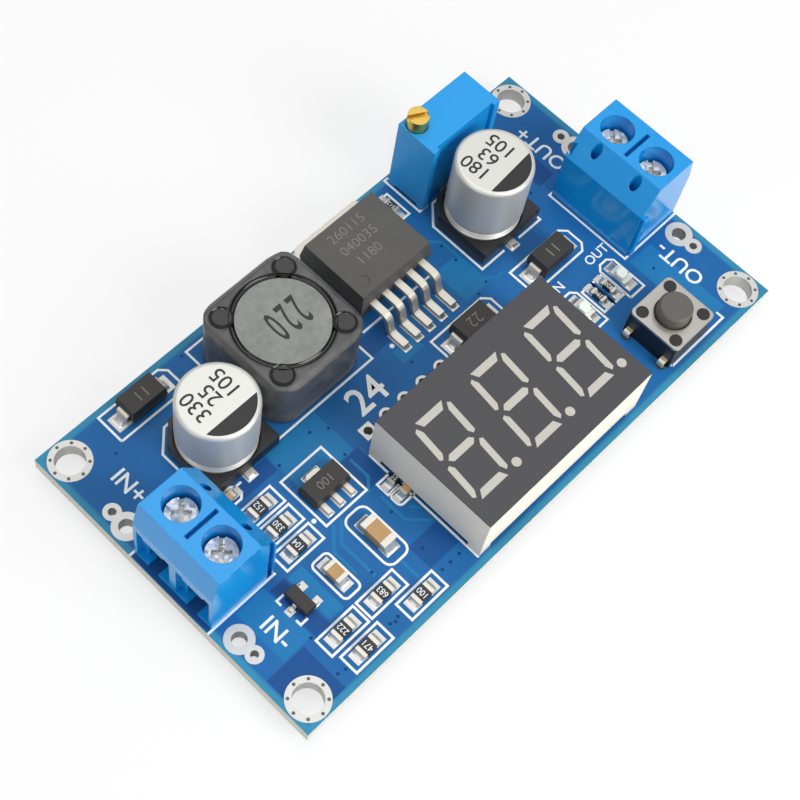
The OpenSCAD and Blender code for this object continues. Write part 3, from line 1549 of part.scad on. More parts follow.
module switch_base() {
  side = switch_w - 2 * switch_base_step;
  color([0.12, 0.12, 0.13])
    difference() {
      on_board(switch_at) {
        difference() {
          block([side, side, cover_bottom]);
          translate([0, 0, cavity_floor]) cylinder(d = cavity_d, h = switch_h);
        }
        at_stakes() cylinder(d = stake_d, h = switch_h + stake_proud);
      }
      switch_leads();
    }
}

module switch_cover() {
  color("silver")
    on_board(switch_at)
      translate([0, 0, cover_bottom])
        difference() {
          linear_extrude(switch_cover_t)
            rounded_rectangle(switch_w, switch_w, switch_corner_r);
          translate([0, 0, -cut]) cylinder(d = button_hole_d, h = switch_cover_t + 2 * cut);
          at_stakes()
            translate([0, 0, -cut]) cylinder(d = stake_d, h = switch_cover_t + 2 * cut);
        }
}

module switch_button() {
  r = button_d / 2;
  top = switch_h + button_h;
  color([0.28, 0.27, 0.26])
    on_board(switch_at)
      rotate_extrude()
        polygon([[0, flange_bottom], [button_flange_d / 2, flange_bottom],
             [button_flange_d / 2, flange_top], [r, flange_top], [r, top - button_edge],
             [r - button_edge, top], [0, top]]);
}

// Thin spherical cap that stands on the cavity's floor
module switch_dome() {
  bend_r = (pow(dome_d / 2, 2) + pow(dome_h, 2)) / (2 * dome_h);
  color("silver")
    on_board(switch_at)
      translate([0, 0, cavity_floor])
        intersection() {
          cylinder(d = dome_d + cut, h = dome_h + cut);
          translate([0, 0, dome_h - bend_r])
            difference() {
              sphere(bend_r);
              sphere(bend_r - dome_t);
            }
        }
}

module switch_leads() {
  outer = switch_lead_span / 2 + switch_lead_t;
  path = [[switch_w / 2 - 2 * lead_stub, switch_lead_z], [outer, switch_lead_z], [outer, switch_lead_z / 2],
      [switch_lead_span / 2, slide_gap], [switch_lead_span / 2, -tail_depth]];
  color("palegoldenrod")
    on_board(switch_at)
      for (turn = [0, 180], s = [-1, 1])
        rotate([0, 0, turn])
          translate([0, s * switch_lead_pitch / 2, 0])
            bent_strip(path, switch_lead_t, switch_lead_t / 2 + run_gap, switch_lead_w);
}

circuit_board();
solder_pads();
solder_joints();
input_terminal_housing();
input_terminal_pins();
input_plus_screw();
input_plus_cage();
input_minus_screw();
input_minus_cage();
output_terminal_housing();
output_terminal_pins();
output_plus_screw();
output_plus_cage();
output_minus_screw();
output_minus_cage();
trimmer_body();
trimmer_screw();
trimmer_pins();
input_capacitor_can();
input_capacitor_base();
input_capacitor_leads();
output_capacitor_can();
output_capacitor_base();
output_capacitor_leads();
inductor_shell();
inductor_core();
inductor_winding();
inductor_terminals();
converter_chip_body();
converter_chip_tab();
converter_chip_leads();
input_diode_body();
input_diode_leads();
rectifier_diode_body();
rectifier_diode_leads();
output_diode_body();
output_diode_leads();
supply_regulator_body();
supply_regulator_leads();
transistor_body();
transistor_leads();
resistor_bodies();
resistor_ends();
ceramic_capacitor_bodies();
ceramic_capacitor_ends();
indicator_bases();
indicator_lenses();
display_housing();
display_face();
display_segments();
display_substrate();
display_pins();
switch_base();
switch_cover();
switch_button();
switch_dome();
switch_leads();
controller_body();
controller_leads();
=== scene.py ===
"""Boost converter module: finishes, print, solder and studio around the fixed part."""

import json
import math

import bmesh
import bpy
from bpy.props import FloatProperty, FloatVectorProperty, IntProperty, PointerProperty
from mathutils import Euler, Matrix, Vector


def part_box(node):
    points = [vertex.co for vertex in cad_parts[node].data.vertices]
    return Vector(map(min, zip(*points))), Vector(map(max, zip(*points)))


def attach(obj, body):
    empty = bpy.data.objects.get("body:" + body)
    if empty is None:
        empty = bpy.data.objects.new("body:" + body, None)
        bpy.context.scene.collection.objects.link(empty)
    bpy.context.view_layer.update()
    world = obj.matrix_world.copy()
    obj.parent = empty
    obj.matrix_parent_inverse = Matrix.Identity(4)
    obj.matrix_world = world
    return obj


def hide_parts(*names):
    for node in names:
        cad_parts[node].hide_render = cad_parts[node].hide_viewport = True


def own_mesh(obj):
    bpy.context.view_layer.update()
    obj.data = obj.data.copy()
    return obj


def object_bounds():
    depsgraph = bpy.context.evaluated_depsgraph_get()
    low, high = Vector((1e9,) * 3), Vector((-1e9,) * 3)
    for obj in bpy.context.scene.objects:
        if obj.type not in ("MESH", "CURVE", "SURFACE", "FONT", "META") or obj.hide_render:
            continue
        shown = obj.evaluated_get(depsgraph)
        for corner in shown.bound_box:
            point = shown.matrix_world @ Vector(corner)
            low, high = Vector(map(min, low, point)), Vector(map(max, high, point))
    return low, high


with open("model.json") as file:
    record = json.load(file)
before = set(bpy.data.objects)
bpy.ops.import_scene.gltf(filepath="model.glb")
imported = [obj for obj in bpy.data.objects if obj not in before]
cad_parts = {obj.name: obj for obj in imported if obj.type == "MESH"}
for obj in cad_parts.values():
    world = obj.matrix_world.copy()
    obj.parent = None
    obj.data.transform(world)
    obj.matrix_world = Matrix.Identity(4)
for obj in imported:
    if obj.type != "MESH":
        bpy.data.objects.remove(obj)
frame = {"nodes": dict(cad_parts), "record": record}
CAD_BOX = [list(corner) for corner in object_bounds()]

bl_info = {
    "name": "Boost Converter Module",
    "version": (1, 0, 0),
    "blender": (4, 5, 0),
    "location": "View3D > Sidebar > Converter",
    "description": "Finishes, print, solder and studio of a boost converter module",
    "category": "Object",
}

# What the frame gives; lengths are in millimetres until they go into a mesh
MM = 0.001
NODES = frame["nodes"]
SLOT_OF = {part["node"]: part["material_slot"] for part in frame["record"]["subparts"]}
POLES = ("input_plus", "input_minus", "output_plus", "output_minus")
BOARD_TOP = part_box("circuit_board")[1].z / MM
PAD_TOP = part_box("solder_pads")[1].z / MM
HALF_LENGTH = CAD_BOX[1][0] / MM
HALF_WIDTH = CAD_BOX[1][1] / MM

# Corner holes and the small features of the board
CORNER_INSET = 2.3
CORNER_X = HALF_LENGTH - CORNER_INSET
CORNER_Y = HALF_WIDTH - CORNER_INSET
RING_RADIUS = 1.83
VIA_SIZE = 0.34
TRACK_WIDTH = 0.3

# Lifts above what carries them, so that no two layers share a plane
BARE_LIFT = 0.003
POURED_LIFT = 0.004
TRACK_LIFT = 0.006
VIA_LIFT = 0.008
MARK_LIFT = 0.006
CHIP_PRINT_LIFT = 0.004
CORE_PRINT_LIFT = 0.008
CAN_PRINT_LIFT = 0.01

# Flat meshes: distance of points that are one, and area of a face that is none
SAME_POINT = 0.0001
NO_AREA = 1e-6

# Limit of a line's mitred corners, and height of a digit against the size of the built-in font
MITRE_LIMIT = 0.3
DIGIT_SHARE = 0.7


# Colours and nodes


def rgb(code):
    """Linear colour of a six-digit code."""
    parts = [int(code[i : i + 2], 16) / 255 for i in (0, 2, 4)]
    return [c / 12.92 if c <= 0.04045 else ((c + 0.055) / 1.055) ** 2.4 for c in parts] + [1.0]


def put(tree, kind, inputs=None, **settings):
    """Adds a node, sets its own settings, then sets or joins its inputs."""
    made = tree.nodes.new(kind)
    for key, value in settings.items():
        setattr(made, key, value)
    for key, value in (inputs or {}).items():
        if isinstance(value, bpy.types.NodeSocket):
            tree.links.new(value, made.inputs[key])
        else:
            made.inputs[key].default_value = value
    return made


def maths(tree, operation, a, b=0.0):
    """Output of a Math node."""
    return put(tree, "ShaderNodeMath", {0: a, 1: b}, operation=operation).outputs[0]


def scaled(tree, a, b, offset, clamp=False):
    """Output of a Math node that gives a times b plus an offset."""
    inputs = {0: a, 1: b, 2: offset}
    return put(tree, "ShaderNodeMath", inputs, operation="MULTIPLY_ADD", use_clamp=clamp).outputs[0]


def vectors(tree, operation, inputs):
    """Output of a Vector Math node."""
    return put(tree, "ShaderNodeVectorMath", inputs, operation=operation).outputs[0]


def noise(tree, place, scale, detail):
    """Output of a Noise Texture node."""
    inputs = {"Vector": place, "Scale": scale, "Detail": detail}
    return put(tree, "ShaderNodeTexNoise", inputs).outputs[0]


def mixed(tree, share, a, b, mode="MIX"):
    """Colour output of a Mix node."""
    inputs = {0: share, 6: a, 7: b}
    return put(tree, "ShaderNodeMix", inputs, data_type="RGBA", blend_type=mode).outputs[2]


def blend(tree, share, a, b):
    """Number output of a Mix node."""
    return put(tree, "ShaderNodeMix", {0: share, 2: a, 3: b}).outputs[0]


def shader_group(name, inputs, outputs):
    """New shader group with its sockets; returns the tree, its input node and its output node."""
    tree = bpy.data.node_groups.new(name, "ShaderNodeTree")
    for label, kind, value in inputs:
        socket = tree.interface.new_socket(label, in_out="INPUT", socket_type="NodeSocket" + kind)
        socket.default_value = value
    for label, kind in outputs:
        tree.interface.new_socket(label, in_out="OUTPUT", socket_type="NodeSocket" + kind)
    return tree, tree.nodes.new("NodeGroupInput").outputs, tree.nodes.new("NodeGroupOutput").inputs


SURFACE_IN = [
    ("Color", "Color", (0.5, 0.5, 0.5, 1.0)),
    ("Roughness", "Float", 0.4),
    ("Scale", "Float", 1500.0),
    ("Vary", "Float", 0.06),
    ("Rough Vary", "Float", 0.12),
    ("Bump", "Float", 0.05),
    ("Edge", "Float", 0.1 * MM),
    ("Stretch", "Vector", (1.0, 1.0, 1.0)),
]
SURFACE_OUT = [("Color", "Color"), ("Roughness", "Float"), ("Normal", "Vector")]
GRAIN_DEPTH = 0.02


def pulled_place(tree, gin):
    """Place on the object, stretched as the group's input says."""
    place = put(tree, "ShaderNodeTexCoord").outputs["Object"]
    return vectors(tree, "MULTIPLY", {0: place, 1: gin["Stretch"]})


def finish_surface(tree, gin, gout, fac, facets=None):
    """Turns one pattern into a colour, a roughness and a normal with softened edges or with facets."""
    links = tree.links
    centred = maths(tree, "SUBTRACT", fac, 0.5)
    tint = scaled(tree, centred, gin["Vary"], 1.0)
    links.new(mixed(tree, 1.0, gin["Color"], tint, "MULTIPLY"), gout["Color"])
    rough = scaled(tree, centred, gin["Rough Vary"], gin["Roughness"], clamp=True)
    links.new(rough, gout["Roughness"])
    soft = put(tree, "ShaderNodeBevel", {"Radius": gin["Edge"]}, samples=4).outputs[0]
    if facets:
        lean = vectors(tree, "SUBTRACT", {0: facets, 1: (0.5, 0.5, 0.5)})
        lean = vectors(tree, "SCALE", {0: lean, "Scale": gin["Bump"]})
        lean = vectors(tree, "ADD", {0: lean, 1: soft})
        normal = vectors(tree, "NORMALIZE", {0: lean})
    else:
        inputs = {"Strength": gin["Bump"], "Distance": GRAIN_DEPTH * MM, "Height": fac, "Normal": soft}
        normal = put(tree, "ShaderNodeBump", inputs).outputs[0]
    links.new(normal, gout["Normal"])


def surface_group():
    """Fine uneven grain over a broad one, stretched for drawn or brushed metal."""
    tree, gin, gout = shader_group("Surface", SURFACE_IN, SURFACE_OUT)
    pulled = pulled_place(tree, gin)
    fine = noise(tree, pulled, gin["Scale"], 3.0)
    broad = noise(tree, pulled, maths(tree, "MULTIPLY", gin["Scale"], 0.12), 1.0)
    fac = maths(tree, "ADD", fine, broad)
    finish_surface(tree, gin, gout, maths(tree, "MULTIPLY", fac, 0.5))


def crystal_group():
    """Small facets that each take their own shade and lean, as on plated screws."""
    tree, gin, gout = shader_group("Crystal", SURFACE_IN, SURFACE_OUT)
    inputs = {"Vector": pulled_place(tree, gin), "Scale": gin["Scale"]}
    cells = put(tree, "ShaderNodeTexVoronoi", inputs).outputs["Color"]
    shade = put(tree, "ShaderNodeSeparateColor", {0: cells}).outputs[0]
    finish_surface(tree, gin, gout, shade, cells)


BOARD_IN = [
    ("Mask", "Color", (0.0, 0.1, 0.4, 1.0)),
    ("Rim", "Color", (0.0, 0.2, 0.4, 1.0)),
    ("Laminate", "Color", rgb("e6e4d8")),
    ("Plating", "Color", rgb("e0deda")),
    ("Rim Width", "Float", 0.8 * MM),
]
BOARD_OUT = [*SURFACE_OUT, ("Metallic", "Float")]
FIBRE_SHADE = (0.25, 0.25, 0.2, 1.0)
CUT_EDGE_DEPTH = 0.05


def board_group():
    """Solder mask over copper, its paler rim, the cut edge of the laminate and the plated hole walls."""
    tree, gin, gout = shader_group("Board", BOARD_IN, BOARD_OUT)
    links = tree.links
    coords = put(tree, "ShaderNodeTexCoord").outputs
    at = put(tree, "ShaderNodeSeparateXYZ", {0: coords["Object"]}).outputs
    facing = put(tree, "ShaderNodeSeparateXYZ", {0: coords["Normal"]}).outputs
    face = maths(tree, "GREATER_THAN", maths(tree, "ABSOLUTE", facing[2]), 0.5)
    from_end = maths(tree, "SUBTRACT", HALF_LENGTH * MM, maths(tree, "ABSOLUTE", at[0]))
    from_side = maths(tree, "SUBTRACT", HALF_WIDTH * MM, maths(tree, "ABSOLUTE", at[1]))
    margin = maths(tree, "MINIMUM", from_end, from_side)
    inner = maths(tree, "MULTIPLY", gin["Rim Width"], 0.5)
    inputs = {"Value": margin, "From Min": inner, "From Max": gin["Rim Width"]}
    copper = put(tree, "ShaderNodeMapRange", inputs, interpolation_type="SMOOTHSTEP").outputs[0]
    cloud = noise(tree, coords["Object"], 130.0, 2.0)
    grain = noise(tree, coords["Object"], 4000.0, 2.0)
    shade = scaled(tree, maths(tree, "SUBTRACT", cloud, 0.5), 0.45, 1.0)
    mask = mixed(tree, 1.0, mixed(tree, copper, gin["Rim"], gin["Mask"]), shade, "MULTIPLY")
    layers = vectors(tree, "MULTIPLY", {0: coords["Object"], 1: (1.0, 1.0, 8.0)})
    weave = noise(tree, layers, 1800.0, 3.0)
    rough_edge = mixed(tree, maths(tree, "MULTIPLY", weave, 0.35), gin["Laminate"], FIBRE_SHADE)
    plated = maths(tree, "GREATER_THAN", margin, CUT_EDGE_DEPTH * MM)
    wall = mixed(tree, plated, rough_edge, gin["Plating"])
    links.new(mixed(tree, face, wall, mask), gout["Color"])
    links.new(maths(tree, "MULTIPLY", plated, maths(tree, "SUBTRACT", 1.0, face)), gout["Metallic"])
    wall_rough = scaled(tree, plated, -0.4, 0.8)
    face_rough = scaled(tree, grain, 0.12, 0.3)
    links.new(blend(tree, face, wall_rough, face_rough), gout["Roughness"])
    inputs = {"Strength": 0.12, "Distance": GRAIN_DEPTH * MM, "Height": grain}
    links.new(put(tree, "ShaderNodeBump", inputs).outputs[0], gout["Normal"])


MASK_GLOSS = 0.14
GLOW_DEPTH = 0.4

# Finishes by material slot: colour, roughness, then what differs from the common surface
FINISHES = {
    "tinned_copper": ("cfceca", 0.45, dict(metal=0.4, vary=0.16, scale=2200, edge=0.03)),
    "solder": ("cdcdc9", 0.3, dict(metal=0.75, vary=0.14, scale=2600, bump=0.12, edge=0.05)),
    "terminal_plastic": ("0a96e0", 0.2, dict(vary=0.05, scale=900, edge=0.12, subsurface=0.12)),
    "plated_screw": (
        "f2f0ea", 0.3, dict(kind="Crystal", metal=0.25, vary=0.4, scale=2300, bump=0.9, edge=0.05)
    ),
    "plated_cage": ("c8c6c0", 0.35, dict(metal=1.0, stretch=(1, 6, 1))),
    "tinned_lead": ("cac6bb", 0.36, dict(metal=0.7, vary=0.18, scale=2400, bump=0.1, edge=0.05)),
    "trimmer_plastic": ("129ae4", 0.42, dict(vary=0.05, scale=1100, subsurface=0.1)),
    "brass": ("cfb05c", 0.3, dict(metal=1.0, vary=0.2, scale=2200, stretch=(1, 1, 5), edge=0.08)),
    "can_aluminium": (
        "d3d3ce", 0.42, dict(metal=0.5, vary=0.05, scale=2500, stretch=(1, 1, 0.08), bump=0.06)
    ),
    "black_plastic": ("161617", 0.45, dict(vary=0.2, edge=0.08)),
    "ferrite_shell": ("4c4b4b", 0.36, dict(vary=2.6, scale=1100, bump=0.35, edge=0.4)),
    "ferrite_core": ("858882", 0.6, dict(vary=1.3, bump=0.3, edge=0.12)),
    "copper_wire": ("a85a2c", 0.35, dict(metal=1.0, stretch=(1, 1, 20))),
    "chip_epoxy": ("504f4c", 0.6, dict(vary=0.45, scale=2600, bump=0.3, edge=0.08)),
    "diode_epoxy": ("272422", 0.5, dict(vary=0.6, scale=2600, bump=0.3)),
    "resistor_coat": ("1c1b1a", 0.4, dict(vary=0.2, scale=3600, edge=0.05)),
    "ceramic": ("b9925f", 0.4, dict(vary=1.1, scale=420, edge=0.08)),
    "lamp_base": ("e8e8e0", 0.4, dict(edge=0.05)),
    "lamp_lens": ("f0f4ec", 0.2, dict(vary=0.08, edge=0.08, subsurface=0.3)),
    "display_housing": ("f1e9da", 0.5, dict(vary=0.04, scale=1600, bump=0.08, edge=0.12)),
    "display_face": ("403f43", 0.55, dict(vary=0.05, scale=3000, bump=0.12, edge=0.05)),
    "display_segment": ("c2beb4", 0.5, dict(scale=2600, edge=0.0, subsurface=0.2)),
    "display_substrate": ("2f6b3a", 0.5, dict(vary=0.12)),
    "switch_steel": ("b2aea8", 0.36, dict(metal=0.85, vary=0.1, scale=2200, stretch=(1, 8, 1))),
    "button_plastic": ("5a5753", 0.5, dict(vary=0.12, scale=2600, bump=0.15, edge=0.12)),
    "switch_lead": ("e6dfc6", 0.28, dict(metal=0.6, vary=0.12, edge=0.06)),
    "print_white": ("f0f3f1", 0.55, dict(vary=0.1, scale=4200, bump=0.1, edge=0.0)),
    "print_black": ("1a1a1b", 0.5, dict(vary=0.2, scale=4200, edge=0.0)),
    "print_grey": ("7d796d", 0.6, dict(vary=0.3, scale=6000, edge=0.0)),
    "ferrite_mark": ("1c1c1d", 0.5, dict(vary=0.3, scale=5000, edge=0.0)),
    # darker mask of the fields without copper, also used as painted shade under the terminals
    "mask_dark": ("19508e", 0.35, dict(vary=0.2, scale=900, edge=0.0, specular=MASK_GLOSS)),
    "mask_pale": ("2277ae", 0.35, dict(vary=0.2, scale=900, edge=0.0, specular=MASK_GLOSS)),
    "via_mask": ("053a6e", 0.3, dict(vary=0.2, scale=1800, edge=0.0, specular=MASK_GLOSS)),
    "lamp_mark": ("3f9f6c", 0.4, dict(vary=0.1, scale=3000, edge=0.0)),
    # grey of the open ring holes: plating, with painted shade inside them
    "via_dark": ("5d5b55", 0.5, dict(metal=0.5, vary=0.2, edge=0.0)),
    "glue": ("0f0f10", 0.13, dict(vary=0.6, bump=0.4, edge=0.0)),
}


def board_look(tree, shader):
    """Node of the board's group, with the add-on's settings."""
    looks = bpy.context.scene.converter.looks
    values = {"Mask": (*looks.mask_color, 1.0), "Rim": (*looks.rim_color, 1.0), "Rim Width": looks.rim_width}
    look = put(tree, "ShaderNodeGroup", values, node_tree=bpy.data.node_groups["Board"])
    tree.links.new(look.outputs["Metallic"], shader.inputs["Metallic"])
    shader.inputs["Specular IOR Level"].default_value = MASK_GLOSS
    return look


def plain_look(tree, shader, color, rough, extra):
    """Node of a surface group, with the values of one finish."""
    values = {"Color": rgb(color), "Roughness": rough, "Edge": extra.get("edge", 0.1) * MM}
    for key in ("scale", "vary", "bump", "stretch"):
        if key in extra:
            values[key.title()] = extra[key]
    group = bpy.data.node_groups[extra.get("kind", "Surface")]
    shader.inputs["Metallic"].default_value = extra.get("metal", 0.0)
    shader.inputs["Subsurface Weight"].default_value = extra.get("subsurface", 0.0)
    shader.inputs["Subsurface Scale"].default_value = GLOW_DEPTH * MM
    shader.inputs["Specular IOR Level"].default_value = extra.get("specular", 0.5)
    return put(tree, "ShaderNodeGroup", values, node_tree=group)


def finish(slot):
    """Material of one slot, made once."""
    made = bpy.data.materials.get("finish_" + slot)
    if made:
        return made
    made = bpy.data.materials.new("finish_" + slot)
    made.use_nodes = True
    tree = made.node_tree
    shader = tree.nodes["Principled BSDF"]
    look = board_look(tree, shader) if slot == "board" else plain_look(tree, shader, *FINISHES[slot])
    for key in ("Color", "Roughness", "Normal"):
        tree.links.new(look.outputs[key], shader.inputs["Base Color" if key == "Color" else key])
    return made


def dress(*names):
    """Gives CAD nodes the finish of their slot."""
    for name in names:
        mesh = NODES[name].data
        mesh.materials.clear()
        mesh.materials.append(finish(SLOT_OF[name]))


# Places


def islands(name):
    """Lowest and highest corner of each separate solid of a CAD node, in millimetres."""
    mesh = NODES[name].data
    keys = {}
    spot = [keys.setdefault(tuple(round(c, 6) for c in v.co), len(keys)) for v in mesh.vertices]
    parent = list(range(len(keys)))

    def root(i):
        while parent[i] != i:
            parent[i] = parent[parent[i]]
            i = parent[i]
        return i

    for polygon in mesh.polygons:
        first = root(spot[polygon.vertices[0]])
        for vertex in polygon.vertices[1:]:
            parent[root(spot[vertex])] = first
    groups = {}
    for key, i in keys.items():
        groups.setdefault(root(i), []).append(key)
    return [(Vector(map(min, zip(*g))) / MM, Vector(map(max, zip(*g))) / MM) for g in groups.values()]


def middle(box):
    """Middle of a box."""
    return (box[0] + box[1]) / 2


def node_box(name):
    """Box of a CAD node in millimetres."""
    lo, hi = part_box(name)
    return lo / MM, hi / MM


def turns(steps):
    """Angles that part a full turn into equal steps."""
    return [math.tau * i / steps for i in range(steps)]


def on_circle(cx, cy, r, angle):
    """Point of a circle at an angle."""
    return cx + r * math.cos(angle), cy + r * math.sin(angle)


def compass(way):
    """Nearest of the four directions along the board's sides."""
    if abs(way.x) > abs(way.y):
        return Vector((math.copysign(1, way.x), 0, 0))
    return Vector((0, math.copysign(1, way.y), 0))


# Shapes


def linked(name, data):
    """New object in the scene."""
    obj = bpy.data.objects.new(name, data)
    bpy.context.scene.collection.objects.link(obj)
    return obj


def baked(obj):
    """Mesh that an object's curve or modifiers make; the object itself is removed."""
    graph = bpy.context.evaluated_depsgraph_get()
    mesh = bpy.data.meshes.new_from_object(obj.evaluated_get(graph))
    bpy.data.objects.remove(obj)
    return mesh


def new_piece(name, mesh, slot):
    """Makes a mesh a piece that rides on the board, with the finish of the given slot if it has no material
    yet.
    """
    obj = linked(name, mesh)
    if not mesh.materials:
        mesh.materials.append(finish(slot))
    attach(obj, "board")
    return obj


class Sheet:
    """Flat print in one plane, gathered in one mesh; lengths in millimetres."""

    def __init__(self, z):
        self.z = z
        self.mesh = bmesh.new()

    def field(self, points):
        """Filled outline, counter-clockwise."""
        self.mesh.faces.new([self.mesh.verts.new((x * MM, y * MM, self.z * MM)) for x, y in points])

    def stroke(self, points, width, closed=False):
        """Line of one width with mitred corners."""
        line = [Vector(p) for p in points]
        count = len(line)
        left, right = [], []
        for i, p in enumerate(line):
            before = line[i - 1] if closed or i else p
            after = line[(i + 1) % count] if closed or i < count - 1 else p
            ways = [way.normalized() for way in (p - before, after - p) if way.length]
            sides = [Vector((-w.y, w.x)) for w in ways]
            mitre = sum(sides, Vector((0, 0))).normalized()
            reach = mitre * (width / 2 / max(MITRE_LIMIT, mitre.dot(sides[0])))
            left.append(p + reach)
            right.append(p - reach)
        for i in range(count if closed else count - 1):
            j = (i + 1) % count
            self.field([right[i], right[j], left[j], left[i]])

    def dot(self, x, y, d, steps=20):
        """Round dot."""
        self.field([on_circle(x, y, d / 2, a) for a in turns(steps)])

    def round(self, cx, cy, section, steps):
        """Smooth surface of revolution about a point from a section of (radius, height)."""
        rings = []
        for r, h in section:
            points = [on_circle(cx, cy, r, a) for a in turns(steps)]
            rings.append([self.mesh.verts.new((x * MM, y * MM, (self.z + h) * MM)) for x, y in points])
        for inner, outer in zip(rings, rings[1:]):
            for i in range(steps):
                j = (i + 1) % steps
                self.mesh.faces.new([inner[i], outer[i], outer[j], inner[j]]).smooth = True

    def text(self, words, height, x, y, turn=0.0, squeeze=1.0, weight=0.0):
        """Words centred on a point; height is a digit's height."""
        curve = bpy.data.curves.new("words", "FONT")
        curve.body, curve.resolution_u = words, 3
        curve.align_x, curve.align_y, curve.offset = "CENTER", "CENTER", weight
        flat = baked(linked("words", curve))
        bpy.data.curves.remove(curve)
        size = height / DIGIT_SHARE * MM
        flat.transform(
            Matrix.Translation((x * MM, y * MM, self.z * MM))
            @ Matrix.Rotation(math.radians(turn), 4, "Z")
            @ Matrix.Diagonal((size * squeeze, size, 0, 1))
        )
        self.mesh.from_mesh(flat)
        bpy.data.meshes.remove(flat)

    def piece(self, name, slot):
        """Ends the sheet as a piece."""
        bmesh.ops.remove_doubles(self.mesh, verts=self.mesh.verts, dist=SAME_POINT * MM)
        empty = [face for face in self.mesh.faces if face.calc_area() < NO_AREA * MM * MM]
        bmesh.ops.delete(self.mesh, geom=empty, context="FACES")
        mesh = bpy.data.meshes.new(name)
        self.mesh.to_mesh(mesh)
        self.mesh.free()
        return new_piece(name, mesh, slot)


def scatter_tree():
    """Geometry nodes that set one shape on every point, turned and sized by the points' attributes."""
    tree = bpy.data.node_groups.new("Set on points", "GeometryNodeTree")
    sockets = {"Geometry": "Geometry", "Shape": "Object", "Finish": "Material", "Size": "Float"}
    for label, kind in sockets.items():
        tree.interface.new_socket(label, in_out="INPUT", socket_type="NodeSocket" + kind)
    tree.interface.new_socket("Geometry", in_out="OUTPUT", socket_type="NodeSocketGeometry")
    gin = tree.nodes.new("NodeGroupInput").outputs
    shape = put(tree, "GeometryNodeObjectInfo", {"Object": gin["Shape"]})
    turn = put(tree, "GeometryNodeInputNamedAttribute", {"Name": "turn"}, data_type="FLOAT_VECTOR")
    size = put(tree, "GeometryNodeInputNamedAttribute", {"Name": "size"}, data_type="FLOAT_VECTOR")
    inputs = {
        "Points": gin["Geometry"],
        "Instance": shape.outputs["Geometry"],
        "Rotation": turn.outputs[0],
        "Scale": vectors(tree, "SCALE", {0: size.outputs[0], "Scale": gin["Size"]}),
    }
    placed = put(tree, "GeometryNodeInstanceOnPoints", inputs)
    real = put(tree, "GeometryNodeRealizeInstances", {0: placed.outputs[0]})
    inputs = {"Geometry": real.outputs[0], "Material": gin["Finish"]}
    coated = put(tree, "GeometryNodeSetMaterial", inputs)
    put(tree, "NodeGroupOutput", {0: coated.outputs[0]})
    return tree


def scatter(name, shape, spots, slot, size=1.0):
    """One piece from a shape set on spots: (x, y, z, turn about Z, (length, width, height))."""
    points = bpy.data.meshes.new(name + "_points")
    points.from_pydata([(x * MM, y * MM, z * MM) for x, y, z, *_ in spots], [], [])
    for label, values in (
        ("turn", [(0, 0, math.radians(s[3])) for s in spots]),
        ("size", [tuple(c * MM for c in s[4]) for s in spots]),
    ):
        layer = points.attributes.new(label, "FLOAT_VECTOR", "POINT")
        layer.data.foreach_set("vector", [c for v in values for c in v])
    holder = linked(name + "_points", points)
    tree = bpy.data.node_groups.get("Set on points") or scatter_tree()
    modifier = holder.modifiers.new("Set on points", "NODES")
    modifier.node_group = tree
    for label, value in (("Shape", shape), ("Finish", finish(slot)), ("Size", size)):
        socket = next(s for s in tree.interface.items_tree if s.name == label and s.in_out == "INPUT")
        modifier[socket.identifier] = value
    holder.update_tag()
    mesh = baked(holder)
    mesh.name = name
    for label in ("turn", "size"):
        if label in mesh.attributes:
            mesh.attributes.remove(mesh.attributes[label])
    return new_piece(name, mesh, slot)


def unit_shape(name, height, steps=8):
    """Hidden shape over the square x 0 to 1 and y -0.5 to 0.5, with a height for each point."""
    mesh = bpy.data.meshes.new(name)
    row = steps + 1
    grid = [(i / steps, j / steps) for i in range(row) for j in range(row)]
    verts = [(u, v - 0.5, height(u, 2 * v - 1)) for u, v in grid]
    corners = [i * row + j for i in range(steps) for j in range(steps)]
    mesh.from_pydata(verts, [], [(k, k + row, k + row + 1, k + 1) for k in corners])
    mesh.shade_smooth()
    return bpy.data.objects.new(name, mesh)


def unit_disc(name, steps=16):
    """Hidden round plate of diameter 1 at height 0."""
    mesh = bpy.data.meshes.new(name)
    mesh.from_pydata([(*on_circle(0, 0, 0.5, a), 0) for a in turns(steps)], [], [tuple(range(steps))])
    return bpy.data.objects.new(name, mesh)


# Settings


class ConverterLooks(bpy.types.PropertyGroup):
    """Colours and print sizes of the board."""

    mask_color: FloatVectorProperty(
        name="Mask colour", description="Solder mask over copper", subtype="COLOR", default=rgb("2065a3")[:3]
    )
    rim_color: FloatVectorProperty(
        name="Rim colour", description="Solder mask along the edge, without copper", subtype="COLOR",
        default=rgb("3688ac")[:3],
    )
    rim_width: FloatProperty(
        name="Rim width", description="Width of the strip without copper", default=0.9 * MM, unit="LENGTH"
    )
    line_width: FloatProperty(
        name="Line width", description="Width of the printed lines", default=0.24 * MM, unit="LENGTH"
    )
    label_height: FloatProperty(
        name="Label height", description="Height of the terminals' labels", default=1.65 * MM, unit="LENGTH"
    )
    print_lift: FloatProperty(
        name="Print lift", description="Height of the print above the mask", default=0.012 * MM, unit="LENGTH"
    )


class ConverterSolder(bpy.types.PropertyGroup):
    """Sizes of the solder and of the plated holes."""

    fillet_size: FloatProperty(
        name="Fillet size", description="Size of the solder fillets against the usual one", subtype="FACTOR",
        default=1.0,
    )
    fillet_length: FloatProperty(
        name="Fillet length", description="Reach of a chip part's fillet", default=0.62 * MM, unit="LENGTH"
    )
    ring_holes: IntProperty(name="Ring holes", description="Plated holes in a corner ring", default=8, min=0)
    ring_hole_size: FloatProperty(
        name="Ring hole size", description="Diameter of a small plated hole", default=0.34 * MM, unit="LENGTH"
    )


